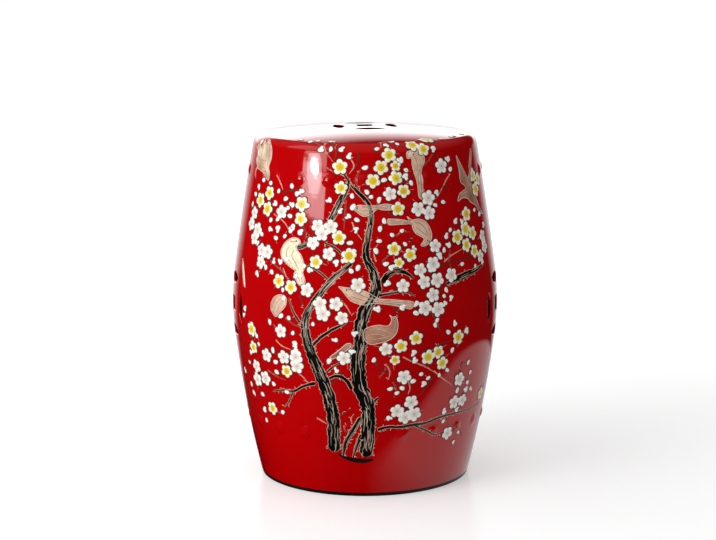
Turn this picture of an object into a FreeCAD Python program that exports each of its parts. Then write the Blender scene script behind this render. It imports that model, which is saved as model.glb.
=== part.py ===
"""Drum-shaped ceramic garden stool, 457 mm tall: two luted wall halves, a domed seat, a foot ring and rows of studs.

Millimetres, +Z up, origin at the centre of the standing face. The front of the stool faces -Y. Azimuths are
measured from the front, positive towards +X.
"""

import FreeCAD, Part
import math
import os
import sys

import Sketcher

V = FreeCAD.Vector

# Driving dimensions: alias, value, meaning
SIZES = [
    ("stool_height", 457.0, "floor to the crown of the seat"),
    ("foot_radius", 136.2, "outer radius where the wall profile meets the floor plane"),
    ("belly_radius", 173.2, "largest outer radius"),
    ("belly_height", 228.5, "height of the largest radius, where the wall halves are luted"),
    ("belly_arc", 350.0, "profile radius of the belly"),
    ("belly_low", 43.0, "reach of the belly arc below the belly"),
    ("belly_high", 47.0, "reach of the belly arc above the belly"),
    ("shoulder_radius", 146.2, "outer radius at the top of the flank"),
    ("shoulder_height", 428.0, "height of the top of the flank"),
    ("crown_radius", 1020.0, "radius of the seat's dome"),
    ("shoulder_round", 15.0, "rounding between flank and dome"),
    ("wall", 9.0, "wall thickness"),
    ("seat_thick", 11.0, "seat thickness"),
    ("seat_seam", 421.0, "height of the joint between wall and seat"),
    ("inner_round", 9.0, "rounding under the seat's rim"),
    ("lip", 4.0, "width of the outer bearing face in each luted joint"),
    ("lap", 9.0, "height of the tongue in each luted joint"),
    ("fit_gap", 0.2, "radial clearance beside each tongue"),
    ("end_gap", 0.6, "clearance past the end of each tongue"),
    ("foot_height", 5.0, "height of the foot ring that shows"),
    ("foot_width", 20.0, "radial width of the foot ring"),
    ("foot_tongue", 4.0, "thickness of the foot ring's tongue"),
    ("foot_ease", 1.2, "chamfer on the foot ring's lower edges"),
    ("coin_radius", 41.0, "outer radius of the pierced coin"),
    ("coin_slot", 39.0, "tip to tip length of a lens slot before rounding"),
    ("coin_slot_width", 13.5, "width of a lens slot at its middle"),
    ("coin_square", 19.0, "side of the square hole"),
    ("coin_round", 1.6, "corner radius of every piercing"),
    ("seat_coin_turn", 10.0, "turn of the seat's coin seen from above, degrees"),
    ("side_coin_azimuth", 79.0, "azimuth of each side coin, degrees"),
    ("side_coin_height", 229.8, "height of the side coins' centres"),
    ("stud_count", 23.0, "studs in one row"),
    ("stud_diameter", 13.5, "diameter of a stud"),
    ("stud_rise", 2.6, "height of a stud above the wall"),
    ("stud_root", 1.2, "depth a stud is drawn into the wall before its back is cut to the wall's curve"),
    ("upper_row_height", 404.0, "height of the upper row of studs"),
    ("lower_row_height", 82.5, "height of the lower row of studs"),
    ("upper_row_start", -1.75, "azimuth of the upper row's first stud, degrees"),
    ("lower_row_start", 2.25, "azimuth of the lower row's first stud, degrees"),
]

# Derived dimensions: alias, formula on the aliases above it
DERIVED = [
    ("belly_mid", "belly_radius - belly_arc"),
    ("belly_inner", "belly_arc - wall"),
    # Lower flank: an arc tangent to the belly arc that ends at the foot
    ("low_nr", "sqrt(belly_arc ^ 2 - belly_low ^ 2) / belly_arc"),
    ("low_nz", "-belly_low / belly_arc"),
    ("low_tr", "belly_mid + belly_arc * low_nr"),
    ("low_tz", "belly_height - belly_low"),
    ("low_dr", "low_tr - foot_radius"),
    ("low_arc", "(low_dr ^ 2 + low_tz ^ 2) / (2 * (low_dr * low_nr + low_tz * low_nz))"),
    ("low_cr", "low_tr - low_arc * low_nr"),
    ("low_cz", "low_tz - low_arc * low_nz"),
    ("low_inner", "low_arc - wall"),
    ("low_ir", "low_cr + low_inner * low_nr"),
    ("low_iz", "low_cz + low_inner * low_nz"),
    # Upper flank: an arc tangent to the belly arc that ends at the shoulder
    ("high_nr", "sqrt(belly_arc ^ 2 - belly_high ^ 2) / belly_arc"),
    ("high_nz", "belly_high / belly_arc"),
    ("high_tr", "belly_mid + belly_arc * high_nr"),
    ("high_tz", "belly_height + belly_high"),
    ("high_dr", "high_tr - shoulder_radius"),
    ("high_dz", "high_tz - shoulder_height"),
    ("high_arc", "(high_dr ^ 2 + high_dz ^ 2) / (2 * (high_dr * high_nr + high_dz * high_nz))"),
    ("high_cr", "high_tr - high_arc * high_nr"),
    ("high_cz", "high_tz - high_arc * high_nz"),
    ("high_inner", "high_arc - wall"),
    ("high_ir", "high_cr + high_inner * high_nr"),
    ("high_iz", "high_cz + high_inner * high_nz"),
    # Joint at the belly: a tongue on the lower wall stands in a rebate of the upper wall
    ("belly_split", "belly_radius - lip"),
    ("belly_tongue", "belly_split - fit_gap"),
    ("belly_tongue_top", "belly_height + lap"),
    ("belly_tongue_inner", "belly_mid + sqrt(belly_inner ^ 2 - lap ^ 2)"),
    ("belly_rebate_top", "belly_tongue_top + end_gap"),
    ("belly_rebate_inner", "belly_mid + sqrt(belly_inner ^ 2 - (lap + end_gap) ^ 2)"),
    # Joint at the seat: a tongue under the seat hangs in a rebate of the upper wall
    ("seam_radius", "high_cr + sqrt(high_arc ^ 2 - (seat_seam - high_cz) ^ 2)"),
    ("seam_split", "seam_radius - lip"),
    ("seam_ledge", "seat_seam - lap"),
    ("seam_ledge_inner", "high_cr + sqrt(high_inner ^ 2 - (seam_ledge - high_cz) ^ 2)"),
    ("seat_tongue", "seam_split - fit_gap"),
    ("seat_tongue_end", "seam_ledge + end_gap"),
    ("seat_tongue_inner", "high_cr + sqrt(high_inner ^ 2 - (seat_tongue_end - high_cz) ^ 2)"),
    # Seat: the arcs that round off the corner between dome and flank, outside and underneath
    ("crown_centre", "stool_height - crown_radius"),
    ("crown_inner", "crown_radius - seat_thick"),
    ("crown_under", "stool_height - seat_thick"),
    ("centre_gap", "sqrt(high_cr ^ 2 + (high_cz - crown_centre) ^ 2)"),
    ("gap_ur", "high_cr / centre_gap"),
    ("gap_uz", "(high_cz - crown_centre) / centre_gap"),
    ("rim_dome", "crown_radius - shoulder_round"),
    ("rim_flank", "high_arc - shoulder_round"),
    ("rim_along", "(rim_dome ^ 2 - rim_flank ^ 2 + centre_gap ^ 2) / (2 * centre_gap)"),
    ("rim_across", "sqrt(rim_dome ^ 2 - rim_along ^ 2)"),
    ("rim_cr", "rim_along * gap_ur + rim_across * gap_uz"),
    ("rim_cz", "crown_centre + rim_along * gap_uz - rim_across * gap_ur"),
    ("rim_top_r", "rim_cr * crown_radius / rim_dome"),
    ("rim_top_z", "crown_centre + (rim_cz - crown_centre) * crown_radius / rim_dome"),
    ("rim_side_r", "high_cr + (rim_cr - high_cr) * high_arc / rim_flank"),
    ("rim_side_z", "high_cz + (rim_cz - high_cz) * high_arc / rim_flank"),
    ("under_dome", "crown_inner - inner_round"),
    ("under_flank", "high_inner - inner_round"),
    ("under_along", "(under_dome ^ 2 - under_flank ^ 2 + centre_gap ^ 2) / (2 * centre_gap)"),
    ("under_across", "sqrt(under_dome ^ 2 - under_along ^ 2)"),
    ("under_cr", "under_along * gap_ur + under_across * gap_uz"),
    ("under_cz", "crown_centre + under_along * gap_uz - under_across * gap_ur"),
    ("under_top_r", "under_cr * crown_inner / under_dome"),
    ("under_top_z", "crown_centre + (under_cz - crown_centre) * crown_inner / under_dome"),
    ("under_side_r", "high_cr + (under_cr - high_cr) * high_inner / under_flank"),
    ("under_side_z", "high_cz + (under_cz - high_cz) * high_inner / under_flank"),
    # Joint at the foot: a tongue on the foot ring stands in a rebate of the lower wall
    ("foot_outer", "low_cr + sqrt(low_arc ^ 2 - (foot_height - low_cz) ^ 2)"),
    ("foot_split", "foot_outer - lip"),
    ("foot_tongue_outer", "foot_split - fit_gap"),
    ("foot_tongue_inner", "foot_tongue_outer - foot_tongue"),
    ("foot_tongue_top", "foot_height + lap"),
    ("foot_rebate_top", "foot_tongue_top + end_gap"),
    ("foot_rebate_inner", "low_cr + sqrt(low_inner ^ 2 - (foot_rebate_top - low_cz) ^ 2)"),
    ("foot_inner", "foot_outer - foot_width"),
    ("foot_toe", "foot_radius - foot_ease"),
    ("foot_heel", "foot_inner + foot_ease"),
    # Coin: four lens slots round a square hole, every corner rounded by an arc tangent to its two sides
    ("square_half", "coin_square / 2"),
    ("square_flat", "square_half - coin_round"),
    ("slot_half", "coin_slot / 2"),
    ("slot_tip", "sqrt(coin_radius ^ 2 - slot_half ^ 2)"),
    ("slot_sag", "slot_tip - coin_radius + coin_slot_width"),
    ("slot_arc", "(slot_half ^ 2 + slot_sag ^ 2) / (2 * slot_sag)"),
    ("slot_centre", "slot_tip - slot_sag + slot_arc"),
    ("tip_rim", "coin_radius - coin_round"),
    ("tip_arc", "slot_arc - coin_round"),
    ("tip_v", "(tip_rim ^ 2 - tip_arc ^ 2 + slot_centre ^ 2) / (2 * slot_centre)"),
    ("tip_u", "sqrt(tip_rim ^ 2 - tip_v ^ 2)"),
    ("rim_u", "tip_u * coin_radius / tip_rim"),
    ("rim_v", "tip_v * coin_radius / tip_rim"),
    ("bow_u", "tip_u * slot_arc / tip_arc"),
    ("bow_v", "slot_centre + (tip_v - slot_centre) * slot_arc / tip_arc"),
    # Studs: a low dome on a round stem, square to the wall
    ("stud_radius", "stud_diameter / 2"),
    ("stud_top", "stud_root + stud_rise"),
    ("stud_ball", "(stud_radius ^ 2 + stud_rise ^ 2) / (2 * stud_rise)"),
    ("stud_ball_centre", "stud_top - stud_ball"),
    ("upper_slope", "asin((upper_row_height - high_cz) / high_arc) / 1 deg"),
    ("upper_face_r", "high_cr + high_arc * cos(upper_slope)"),
    ("upper_root_r", "upper_face_r - stud_root * cos(upper_slope)"),
    ("upper_root_z", "upper_row_height - stud_root * sin(upper_slope)"),
    ("upper_low_r", "upper_face_r + stud_diameter * sin(upper_slope)"),
    ("upper_low_z", "upper_row_height - stud_diameter * cos(upper_slope)"),
    ("upper_high_r", "upper_face_r - stud_diameter * sin(upper_slope)"),
    ("upper_high_z", "upper_row_height + stud_diameter * cos(upper_slope)"),
    ("lower_slope", "asin((lower_row_height - low_cz) / low_arc) / 1 deg"),
    ("lower_face_r", "low_cr + low_arc * cos(lower_slope)"),
    ("lower_root_r", "lower_face_r - stud_root * cos(lower_slope)"),
    ("lower_root_z", "lower_row_height - stud_root * sin(lower_slope)"),
    ("lower_low_r", "lower_face_r + stud_diameter * sin(lower_slope)"),
    ("lower_low_z", "lower_row_height - stud_diameter * cos(lower_slope)"),
    ("lower_high_r", "lower_face_r - stud_diameter * sin(lower_slope)"),
    ("lower_high_z", "lower_row_height + stud_diameter * cos(lower_slope)"),
]

doc = FreeCAD.newDocument("GardenStool")


def fill_sheet():
    """Write the driving and the derived dimensions into the sheet, each with its alias."""
    cells = doc.addObject("Spreadsheet::Sheet", "Sizes")
    for row, (alias, value, meaning) in enumerate(SIZES, 1):
        cells.set("A%d" % row, meaning)
        cells.set("B%d" % row, repr(value))
        cells.setAlias("B%d" % row, alias)
    for row, (alias, formula) in enumerate(DERIVED, len(SIZES) + 1):
        cells.set("A%d" % row, alias.replace("_", " "))
        cells.set("B%d" % row, "=" + formula)
        cells.setAlias("B%d" % row, alias)
    doc.recompute()
    return cells


sheet = fill_sheet()


def size(alias):
    """The value of an alias; a leading minus turns its sign, and 0 is nought."""
    if alias == "0":
        return 0.0
    if alias.startswith("-"):
        return -float(sheet.get(alias[1:]))
    return float(sheet.get(alias))


def cell(alias):
    """The expression that reads an alias from the sheet."""
    if alias.startswith("-"):
        return "-Sizes." + alias[1:]
    return "Sizes." + alias


def origin_feature(body, role):
    """A plane or an axis of a body's own origin."""
    return [item for item in body.Origin.OriginFeatures if item.Role == role][0]


def new_body(label):
    """An empty body whose name and label are the node's name."""
    body = doc.addObject("PartDesign::Body", label)
    body.Label = label
    return body


def new_sketch(body, name, role):
    """A sketch on one of the body's own origin planes."""
    sketch = body.newObject("Sketcher::SketchObject", name)
    sketch.AttachmentSupport = [(origin_feature(body, role), "")]
    sketch.MapMode = "FlatFace"
    return sketch


def pins(edge, position, x_alias, y_alias):
    """The constraints that tie one end of an edge to its two coordinates, each with its alias."""
    found = []
    for kind, alias, axis in (("DistanceX", x_alias, -2), ("DistanceY", y_alias, -1)):
        if alias == "0":
            found.append((Sketcher.Constraint("PointOnObject", edge, position, axis), None))
        else:
            found.append((Sketcher.Constraint(kind, -1, 1, edge, position, size(alias)), alias))
    return found


def arc_between(start, end, centre, radius):
    """The shorter arc about a centre from one point to another, and which of its ends is the start."""
    turn = (start - centre).cross(end - centre).z
    angles = [math.atan2(point.y - centre.y, point.x - centre.x) for point in (start, end)]
    near = 1
    if turn < 0:
        angles.reverse()
        near = 2
    return Part.ArcOfCircle(Part.Circle(centre, V(0, 0, 1), radius), *angles), near


def add_outline(sketch, corners):
    """Draw one closed outline.

    Each corner is (x, y) or (x, y, (centre x, centre y, radius)): the third entry makes the edge that leaves the
    corner an arc about that centre, the short way round. All of them are aliases.
    """
    first = sketch.GeometryCount
    edges = []
    ends = []
    rules = []
    for number, corner in enumerate(corners):
        following = corners[(number + 1) % len(corners)]
        start = V(size(corner[0]), size(corner[1]), 0)
        end = V(size(following[0]), size(following[1]), 0)
        near = 1
        if len(corner) == 2:
            edge = Part.LineSegment(start, end)
        else:
            centre = V(size(corner[2][0]), size(corner[2][1]), 0)
            radius = corner[2][2]
            edge, near = arc_between(start, end, centre, size(radius))
            rules.append((Sketcher.Constraint("Radius", first + number, size(radius)), radius))
        edges.append(edge)
        ends.append((near, 3 - near))
    for number, corner in enumerate(corners):
        before = (number - 1) % len(corners)
        near = ends[number][0]
        rules.append((Sketcher.Constraint("Coincident", first + before, ends[before][1], first + number, near), None))
        rules += pins(first + number, near, corner[0], corner[1])
    sketch.addGeometry(edges)
    added = sketch.addConstraint([rule for rule, alias in rules])
    for index, (rule, alias) in zip(added, rules):
        if alias:
            sketch.setExpression("Constraints[%d]" % index, cell(alias))


def revolve(body, sketch):
    """Turn a profile a full circle about the sketch's vertical axis."""
    feature = body.newObject("PartDesign::Revolution", sketch.Name + "_turned")
    feature.Profile = sketch
    feature.ReferenceAxis = (sketch, ["V_Axis"])
    feature.Angle = 360.0
    sketch.Visibility = False
    return feature


def turned_body(label, corners):
    """A body turned from one half profile behind the axis, so that its seam line stays clear of the side coins."""
    body = new_body(label)
    sketch = new_sketch(body, label + "_profile", "YZ_Plane")
    add_outline(sketch, corners)
    revolve(body, sketch)
    doc.recompute()
    return body


def minus(alias):
    """The same alias with its sign turned."""
    if alias == "0":
        return "0"
    return alias[1:] if alias.startswith("-") else "-" + alias


def quarter_turns(corners, turns):
    """An outline turned about the origin by a number of right angles."""
    for _ in range(turns):
        turned = []
        for corner in corners:
            moved = (minus(corner[1]), corner[0])
            if len(corner) == 3:
                moved += ((minus(corner[2][1]), corner[2][0], corner[2][2]),)
            turned.append(moved)
        corners = turned
    return corners


def coin_outlines():
    """The coin's piercings in the sketch's own plane, each with its name: a square hole and four lens slots."""
    square = []
    for turns in range(4):
        square += quarter_turns([("square_half", "-square_flat"),
                                 ("square_half", "square_flat", ("square_flat", "square_flat", "coin_round"))], turns)
    slot = [("rim_u", "rim_v", ("0", "0", "coin_radius")),
            ("-rim_u", "rim_v", ("-tip_u", "tip_v", "coin_round")),
            ("-bow_u", "bow_v", ("0", "slot_centre", "slot_arc")),
            ("bow_u", "bow_v", ("tip_u", "tip_v", "coin_round"))]
    return [("square", square)] + [("slot_%d" % turns, quarter_turns(slot, turns)) for turns in range(4)]


def pierce_coin(body, name, role, offset, bindings):
    """Cut the coin's piercings through a body, from the middle of the stool outwards."""
    for piercing, outline in coin_outlines():
        sketch = new_sketch(body, name + "_" + piercing, role)
        sketch.AttachmentOffset = offset
        for path, expression in bindings:
            sketch.setExpression(path, expression)
        add_outline(sketch, outline)
        pocket = body.newObject("PartDesign::Pocket", sketch.Name + "_cut")
        pocket.Profile = sketch
        pocket.Type = "ThroughAll"
        pocket.Reversed = True
        sketch.Visibility = False
    doc.recompute()


def side_coin(body, name, side):
    """Pierce one side coin through a wall: side is 1 on the right and -1 on the left."""
    sign = "" if side > 0 else "-"
    turn = FreeCAD.Rotation(V(0, 1, 0), side * size("side_coin_azimuth"))
    offset = FreeCAD.Placement(V(0, size("side_coin_height"), 0), turn)
    bindings = [("AttachmentOffset.Base.y", cell("side_coin_height")),
                ("AttachmentOffset.Rotation.Angle", cell(sign + "side_coin_azimuth"))]
    pierce_coin(body, name, "XZ_Plane", offset, bindings)


def stud_frame(row):
    """The expression for a sketch frame on a row's first stud: its V axis leaves the wall at a right angle."""
    spin = ("create(<<placement>>; create(<<vector>>; 0; 0; 0); "
            "create(<<rotation>>; create(<<vector>>; 0; 0; 1); Sizes.{0}_row_start))")
    lean = ("create(<<placement>>; create(<<vector>>; 0; -Sizes.{0}_root_r; Sizes.{0}_root_z); "
            "create(<<rotation>>; create(<<vector>>; 1; 0; 0); 180 - Sizes.{0}_slope))")
    return (spin + " * " + lean).format(row)


def make_seat():
    """The domed seat with its rounded shoulder, short skirt, tongue and pierced coin."""
    body = turned_body("seat_top", [
        ("0", "stool_height", ("0", "crown_centre", "crown_radius")),
        ("rim_top_r", "rim_top_z", ("rim_cr", "rim_cz", "shoulder_round")),
        ("rim_side_r", "rim_side_z", ("high_cr", "high_cz", "high_arc")),
        ("seam_radius", "seat_seam"),
        ("seat_tongue", "seat_seam"),
        ("seat_tongue", "seat_tongue_end"),
        ("seat_tongue_inner", "seat_tongue_end", ("high_cr", "high_cz", "high_inner")),
        ("under_side_r", "under_side_z", ("under_cr", "under_cz", "inner_round")),
        ("under_top_r", "under_top_z", ("0", "crown_centre", "crown_inner")),
        ("0", "crown_under"),
    ])
    turn = FreeCAD.Rotation(V(0, 0, 1), size("seat_coin_turn"))
    pierce_coin(body, "seat_coin", "XY_Plane", FreeCAD.Placement(V(0, 0, 0), turn),
                [("AttachmentOffset.Rotation.Angle", cell("seat_coin_turn"))])
    return body


def make_upper_wall():
    """The upper half of the wall, from the belly joint to the seat joint."""
    body = turned_body("upper_wall", [
        ("belly_radius", "belly_height", ("belly_mid", "belly_height", "belly_arc")),
        ("high_tr", "high_tz", ("high_cr", "high_cz", "high_arc")),
        ("seam_radius", "seat_seam"),
        ("seam_split", "seat_seam"),
        ("seam_split", "seam_ledge"),
        ("seam_ledge_inner", "seam_ledge", ("high_cr", "high_cz", "high_inner")),
        ("high_ir", "high_iz", ("belly_mid", "belly_height", "belly_inner")),
        ("belly_rebate_inner", "belly_rebate_top"),
        ("belly_split", "belly_rebate_top"),
        ("belly_split", "belly_height"),
    ])
    side_coin(body, "upper_right_coin", 1)
    side_coin(body, "upper_left_coin", -1)
    return body


def make_lower_wall():
    """The lower half of the wall, from the foot joint to the belly joint."""
    body = turned_body("lower_wall", [
        ("foot_outer", "foot_height", ("low_cr", "low_cz", "low_arc")),
        ("low_tr", "low_tz", ("belly_mid", "belly_height", "belly_arc")),
        ("belly_radius", "belly_height"),
        ("belly_tongue", "belly_height"),
        ("belly_tongue", "belly_tongue_top"),
        ("belly_tongue_inner", "belly_tongue_top", ("belly_mid", "belly_height", "belly_inner")),
        ("low_ir", "low_iz", ("low_cr", "low_cz", "low_inner")),
        ("foot_rebate_inner", "foot_rebate_top"),
        ("foot_split", "foot_rebate_top"),
        ("foot_split", "foot_height"),
    ])
    side_coin(body, "lower_right_coin", 1)
    side_coin(body, "lower_left_coin", -1)
    return body


def make_foot_ring():
    """The foot ring: a flat standing face, eased edges and a tongue inside the lower wall."""
    return turned_body("foot_ring", [
        ("foot_toe", "0"),
        ("foot_radius", "foot_ease"),
        ("foot_outer", "foot_height"),
        ("foot_tongue_outer", "foot_height"),
        ("foot_tongue_outer", "foot_tongue_top"),
        ("foot_tongue_inner", "foot_tongue_top"),
        ("foot_inner", "foot_height"),
        ("foot_inner", "foot_ease"),
        ("foot_heel", "0"),
    ])


def make_studs(label, row):
    """One row of studs, each a low dome whose back is cut to the slant and the curve of the wall it is luted to."""
    body = new_body(label)
    sketch = new_sketch(body, row + "_stud", "XY_Plane")
    sketch.setExpression("AttachmentOffset", stud_frame(row))
    add_outline(sketch, [
        ("0", "0"),
        ("stud_radius", "0"),
        ("stud_radius", "stud_root", ("0", "stud_ball_centre", "stud_ball")),
        ("0", "stud_top"),
    ])
    stud = revolve(body, sketch)
    doc.recompute()
    pattern = body.newObject("PartDesign::PolarPattern", row + "_ring_of_studs")
    pattern.Originals = [stud]
    pattern.Axis = (origin_feature(body, "Z_Axis"), [""])
    pattern.Angle = 360.0
    pattern.setExpression("Occurrences", cell("stud_count"))
    body.Tip = pattern
    doc.recompute()
    band = new_sketch(body, row + "_wall_band", "XZ_Plane")
    add_outline(band, [
        ("0", row + "_low_z"),
        (row + "_low_r", row + "_low_z"),
        (row + "_high_r", row + "_high_z"),
        ("0", row + "_high_z"),
    ])
    backs = body.newObject("PartDesign::Groove", row + "_stud_backs")
    backs.Profile = band
    backs.ReferenceAxis = (band, ["V_Axis"])
    backs.Angle = 360.0
    doc.recompute()
    return body


# Each body and the number of separate solids it holds
stud_count = round(size("stud_count"))
bodies = [
    (make_seat(), 1),
    (make_upper_wall(), 1),
    (make_lower_wall(), 1),
    (make_foot_ring(), 1),
    (make_studs("upper_studs", "upper"), stud_count),
    (make_studs("lower_studs", "lower"), stud_count),
]
doc.recompute()



def coin_probes():
    """Points in the middle of the wall and of the seat where the piercings are: none may be in the clay."""
    slot_middle = size("coin_radius") - size("coin_slot_width") / 2
    aside = size("coin_square") / 4
    spots = []
    for along in (aside, -aside):
        for reach in (0, slot_middle, -slot_middle):
            spots += [(along, reach), (reach, along)]
    wall_middle = size("belly_radius") - size("wall") / 2
    seat_middle = size("stool_height") - size("seat_thick") / 2
    points = []
    for u, v in spots:
        seat_turn = FreeCAD.Rotation(V(0, 0, 1), size("seat_coin_turn"))
        points.append(seat_turn.multVec(V(u, v, seat_middle)))
        for side in (1, -1):
            side_turn = FreeCAD.Rotation(V(0, 0, 1), side * size("side_coin_azimuth"))
            outward = math.sqrt(wall_middle ** 2 - u ** 2)
            points.append(side_turn.multVec(V(u, -outward, size("side_coin_height") + v)))
    return points


faults = []
probes = coin_probes()
for item in doc.Objects:
    if "Invalid" in item.State or "Error" in item.State:
        faults.append("%s is %s" % (item.Label, ", ".join(item.State)))
for body, count in bodies:
    shape = body.Shape
    if shape.isNull() or not shape.isValid() or len(shape.Solids) != count:
        faults.append("%s doesn't hold %d valid solids" % (body.Label, count))
    elif any(shape.isInside(point, 0.01, True) for point in probes):
        faults.append("%s closes a piercing of a coin" % body.Label)
if faults:
    sys.exit("\n".join(faults))

os.makedirs("parts", exist_ok=True)
for body, count in bodies:
    body.Shape.exportStep(os.path.join("parts", body.Label + ".step"))
print("%d parts written" % len(bodies))
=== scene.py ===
import math
import random

import bpy
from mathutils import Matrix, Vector
from mathutils.geometry import delaunay_2d_cdt


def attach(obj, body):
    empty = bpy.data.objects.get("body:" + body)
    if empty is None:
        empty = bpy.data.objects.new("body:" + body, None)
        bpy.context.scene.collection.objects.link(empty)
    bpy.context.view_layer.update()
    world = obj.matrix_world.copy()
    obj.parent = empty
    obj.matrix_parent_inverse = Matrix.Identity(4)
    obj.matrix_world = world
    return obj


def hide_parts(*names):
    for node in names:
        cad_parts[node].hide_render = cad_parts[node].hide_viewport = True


MM = 0.001
TURN = 2 * math.pi
QUARTER = math.pi / 2
# Lengths in metres under which two places count as one: in a mesh, and in a sum
SAME = 1e-7
HAIR = 1e-9

# Sizes of the stool, as in its CAD source
STOOL_HEIGHT = 457.0 * MM
FOOT_RADIUS = 136.2 * MM
BELLY_RADIUS = 173.2 * MM
BELLY_HEIGHT = 228.5 * MM
BELLY_ARC = 350.0 * MM
BELLY_LOW = 43.0 * MM
BELLY_HIGH = 47.0 * MM
SHOULDER_RADIUS = 146.2 * MM
SHOULDER_HEIGHT = 428.0 * MM
CROWN_RADIUS = 1020.0 * MM
SHOULDER_ROUND = 15.0 * MM
WALL = 9.0 * MM
SEAT_THICK = 11.0 * MM
SEAT_SEAM = 421.0 * MM
INNER_ROUND = 9.0 * MM
FOOT_HEIGHT = 5.0 * MM
FOOT_WIDTH = 20.0 * MM
FOOT_EASE = 1.2 * MM
COIN_RADIUS = 41.0 * MM
COIN_SLOT = 39.0 * MM
COIN_SLOT_WIDTH = 13.5 * MM
COIN_SQUARE = 19.0 * MM
COIN_ROUND = 1.6 * MM
SEAT_COIN_TURN = math.radians(10.0)
SIDE_COIN_AZIMUTH = math.radians(79.0)
SIDE_COIN_HEIGHT = 229.8 * MM
STUD_COUNT = 23
UPPER_ROW = (404.0 * MM, math.radians(-1.75))
LOWER_ROW = (82.5 * MM, math.radians(2.25))

# The photograph's camera: its frame in pixels, and where the stool's axis stands in it. The sensor is a
# usual one, in millimetres
PHOTO_WIDTH = 716
SENSOR_WIDTH = 36.0
FOCAL_PIXELS = 1979.44
AXIS_COLUMN = 365.0
MIDDLE_ROW = 270.0
CAMERA_PLACE = Vector((0, -2552.56, 725.70)) * MM
CAMERA_PITCH = math.radians(10.194)

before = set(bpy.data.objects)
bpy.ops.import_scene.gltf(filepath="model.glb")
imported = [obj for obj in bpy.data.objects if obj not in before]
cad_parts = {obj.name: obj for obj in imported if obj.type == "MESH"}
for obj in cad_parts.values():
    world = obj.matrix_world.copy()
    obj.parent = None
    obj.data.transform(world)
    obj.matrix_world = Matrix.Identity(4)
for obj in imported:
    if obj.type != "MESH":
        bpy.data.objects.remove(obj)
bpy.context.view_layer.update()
rng = random.Random(7)


# Profile of the stool

class Arc:
    """One arc of a profile: its centre, its radius, its turns, and the length of profile before it."""

    def __init__(self, centre_r, centre_z, radius, start, end, before):
        self.centre_r = centre_r
        self.centre_z = centre_z
        self.radius = radius
        self.start = start
        self.end = end
        self.before = before

    def at(self, length):
        """Radius, height and the outward normal's two parts at a length along the profile."""
        turn = self.start + (length - self.before) / self.radius
        normal_r = math.cos(turn)
        normal_z = math.sin(turn)
        return (self.centre_r + self.radius * normal_r, self.centre_z + self.radius * normal_z,
                normal_r, normal_z)


class Profile:
    """A half profile made of arcs, from the foot to the crown, measured by its length."""

    def __init__(self, flank_inset, dome_inset, rounding):
        belly_mid = BELLY_RADIUS - BELLY_ARC
        crown_centre = STOOL_HEIGHT - CROWN_RADIUS
        dome = CROWN_RADIUS - dome_inset
        low_turn = -math.asin(BELLY_LOW / BELLY_ARC)
        high_turn = math.asin(BELLY_HIGH / BELLY_ARC)
        low_r, low_z, low_arc = self.flank_arc(low_turn, FOOT_RADIUS, 0.0)
        high_r, high_z, high_arc = self.flank_arc(high_turn, SHOULDER_RADIUS, SHOULDER_HEIGHT)
        low_arc -= flank_inset
        high_arc -= flank_inset
        rim_dome = dome - rounding
        rim_flank = high_arc - rounding
        gap = math.hypot(high_r, high_z - crown_centre)
        along = (rim_dome ** 2 - rim_flank ** 2 + gap ** 2) / (2 * gap)
        across = math.sqrt(rim_dome ** 2 - along ** 2)
        unit_r = high_r / gap
        unit_z = (high_z - crown_centre) / gap
        rim_r = along * unit_r + across * unit_z
        rim_z = crown_centre + along * unit_z - across * unit_r
        rim_start = math.atan2(rim_z - high_z, rim_r - high_r)
        rim_end = math.atan2(rim_z - crown_centre, rim_r)
        foot_turn = math.asin((FOOT_HEIGHT - low_z) / low_arc)
        self.arcs = []
        length = 0.0
        for centre_r, centre_z, radius, start, end in (
                (low_r, low_z, low_arc, foot_turn, low_turn),
                (belly_mid, BELLY_HEIGHT, BELLY_ARC - flank_inset, low_turn, high_turn),
                (high_r, high_z, high_arc, high_turn, rim_start),
                (rim_r, rim_z, rounding, rim_start, rim_end),
                (0.0, crown_centre, dome, rim_end, QUARTER)):
            self.arcs.append(Arc(centre_r, centre_z, radius, start, end, length))
            length += radius * (end - start)
        self.length = length
        self.rim, self.dome = self.arcs[-2:]

    @staticmethod
    def flank_arc(turn, end_r, end_z):
        """Centre and radius of the arc that leaves the belly arc at an angle and ends at a point."""
        normal_r = math.cos(turn)
        normal_z = math.sin(turn)
        start_r = BELLY_RADIUS - BELLY_ARC + BELLY_ARC * normal_r
        start_z = BELLY_HEIGHT + BELLY_ARC * normal_z
        step_r = start_r - end_r
        step_z = start_z - end_z
        radius = (step_r ** 2 + step_z ** 2) / (2 * (step_r * normal_r + step_z * normal_z))
        return start_r - radius * normal_r, start_z - radius * normal_z, radius

    def at(self, length):
        """Radius, height and the outward normal's two parts at a length along the profile."""
        chosen = self.arcs[0]
        for arc in self.arcs:
            if length >= arc.before:
                chosen = arc
        return chosen.at(length)

    def at_height(self, height):
        """The length along the profile at a height."""
        for arc in self.arcs:
            if height <= arc.centre_z + arc.radius * math.sin(arc.end) + HAIR:
                turn = math.asin(max(-1.0, min(1.0, (height - arc.centre_z) / arc.radius)))
                return arc.before + arc.radius * (turn - arc.start)
        return self.length

    def at_radius(self, reach):
        """The length along the profile at a radius on the dome."""
        dome = self.dome
        return dome.before + dome.radius * (math.acos(reach / dome.radius) - dome.start)


OUTER = Profile(0.0, 0.0, SHOULDER_ROUND)
INNER = Profile(WALL, SEAT_THICK, INNER_ROUND)


def round_axis(reach, azimuth, z):
    """The point or direction at a distance from the stool's axis, an azimuth and a height."""
    return Vector((reach * math.sin(azimuth), -reach * math.cos(azimuth), z))


def on_wall(azimuth, length, lift=0.0, profile=OUTER):
    """The point at an azimuth and a length along the profile, lifted off the surface."""
    r, z, normal_r, normal_z = profile.at(length)
    return round_axis(r + lift * normal_r, azimuth, z + lift * normal_z)


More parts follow.
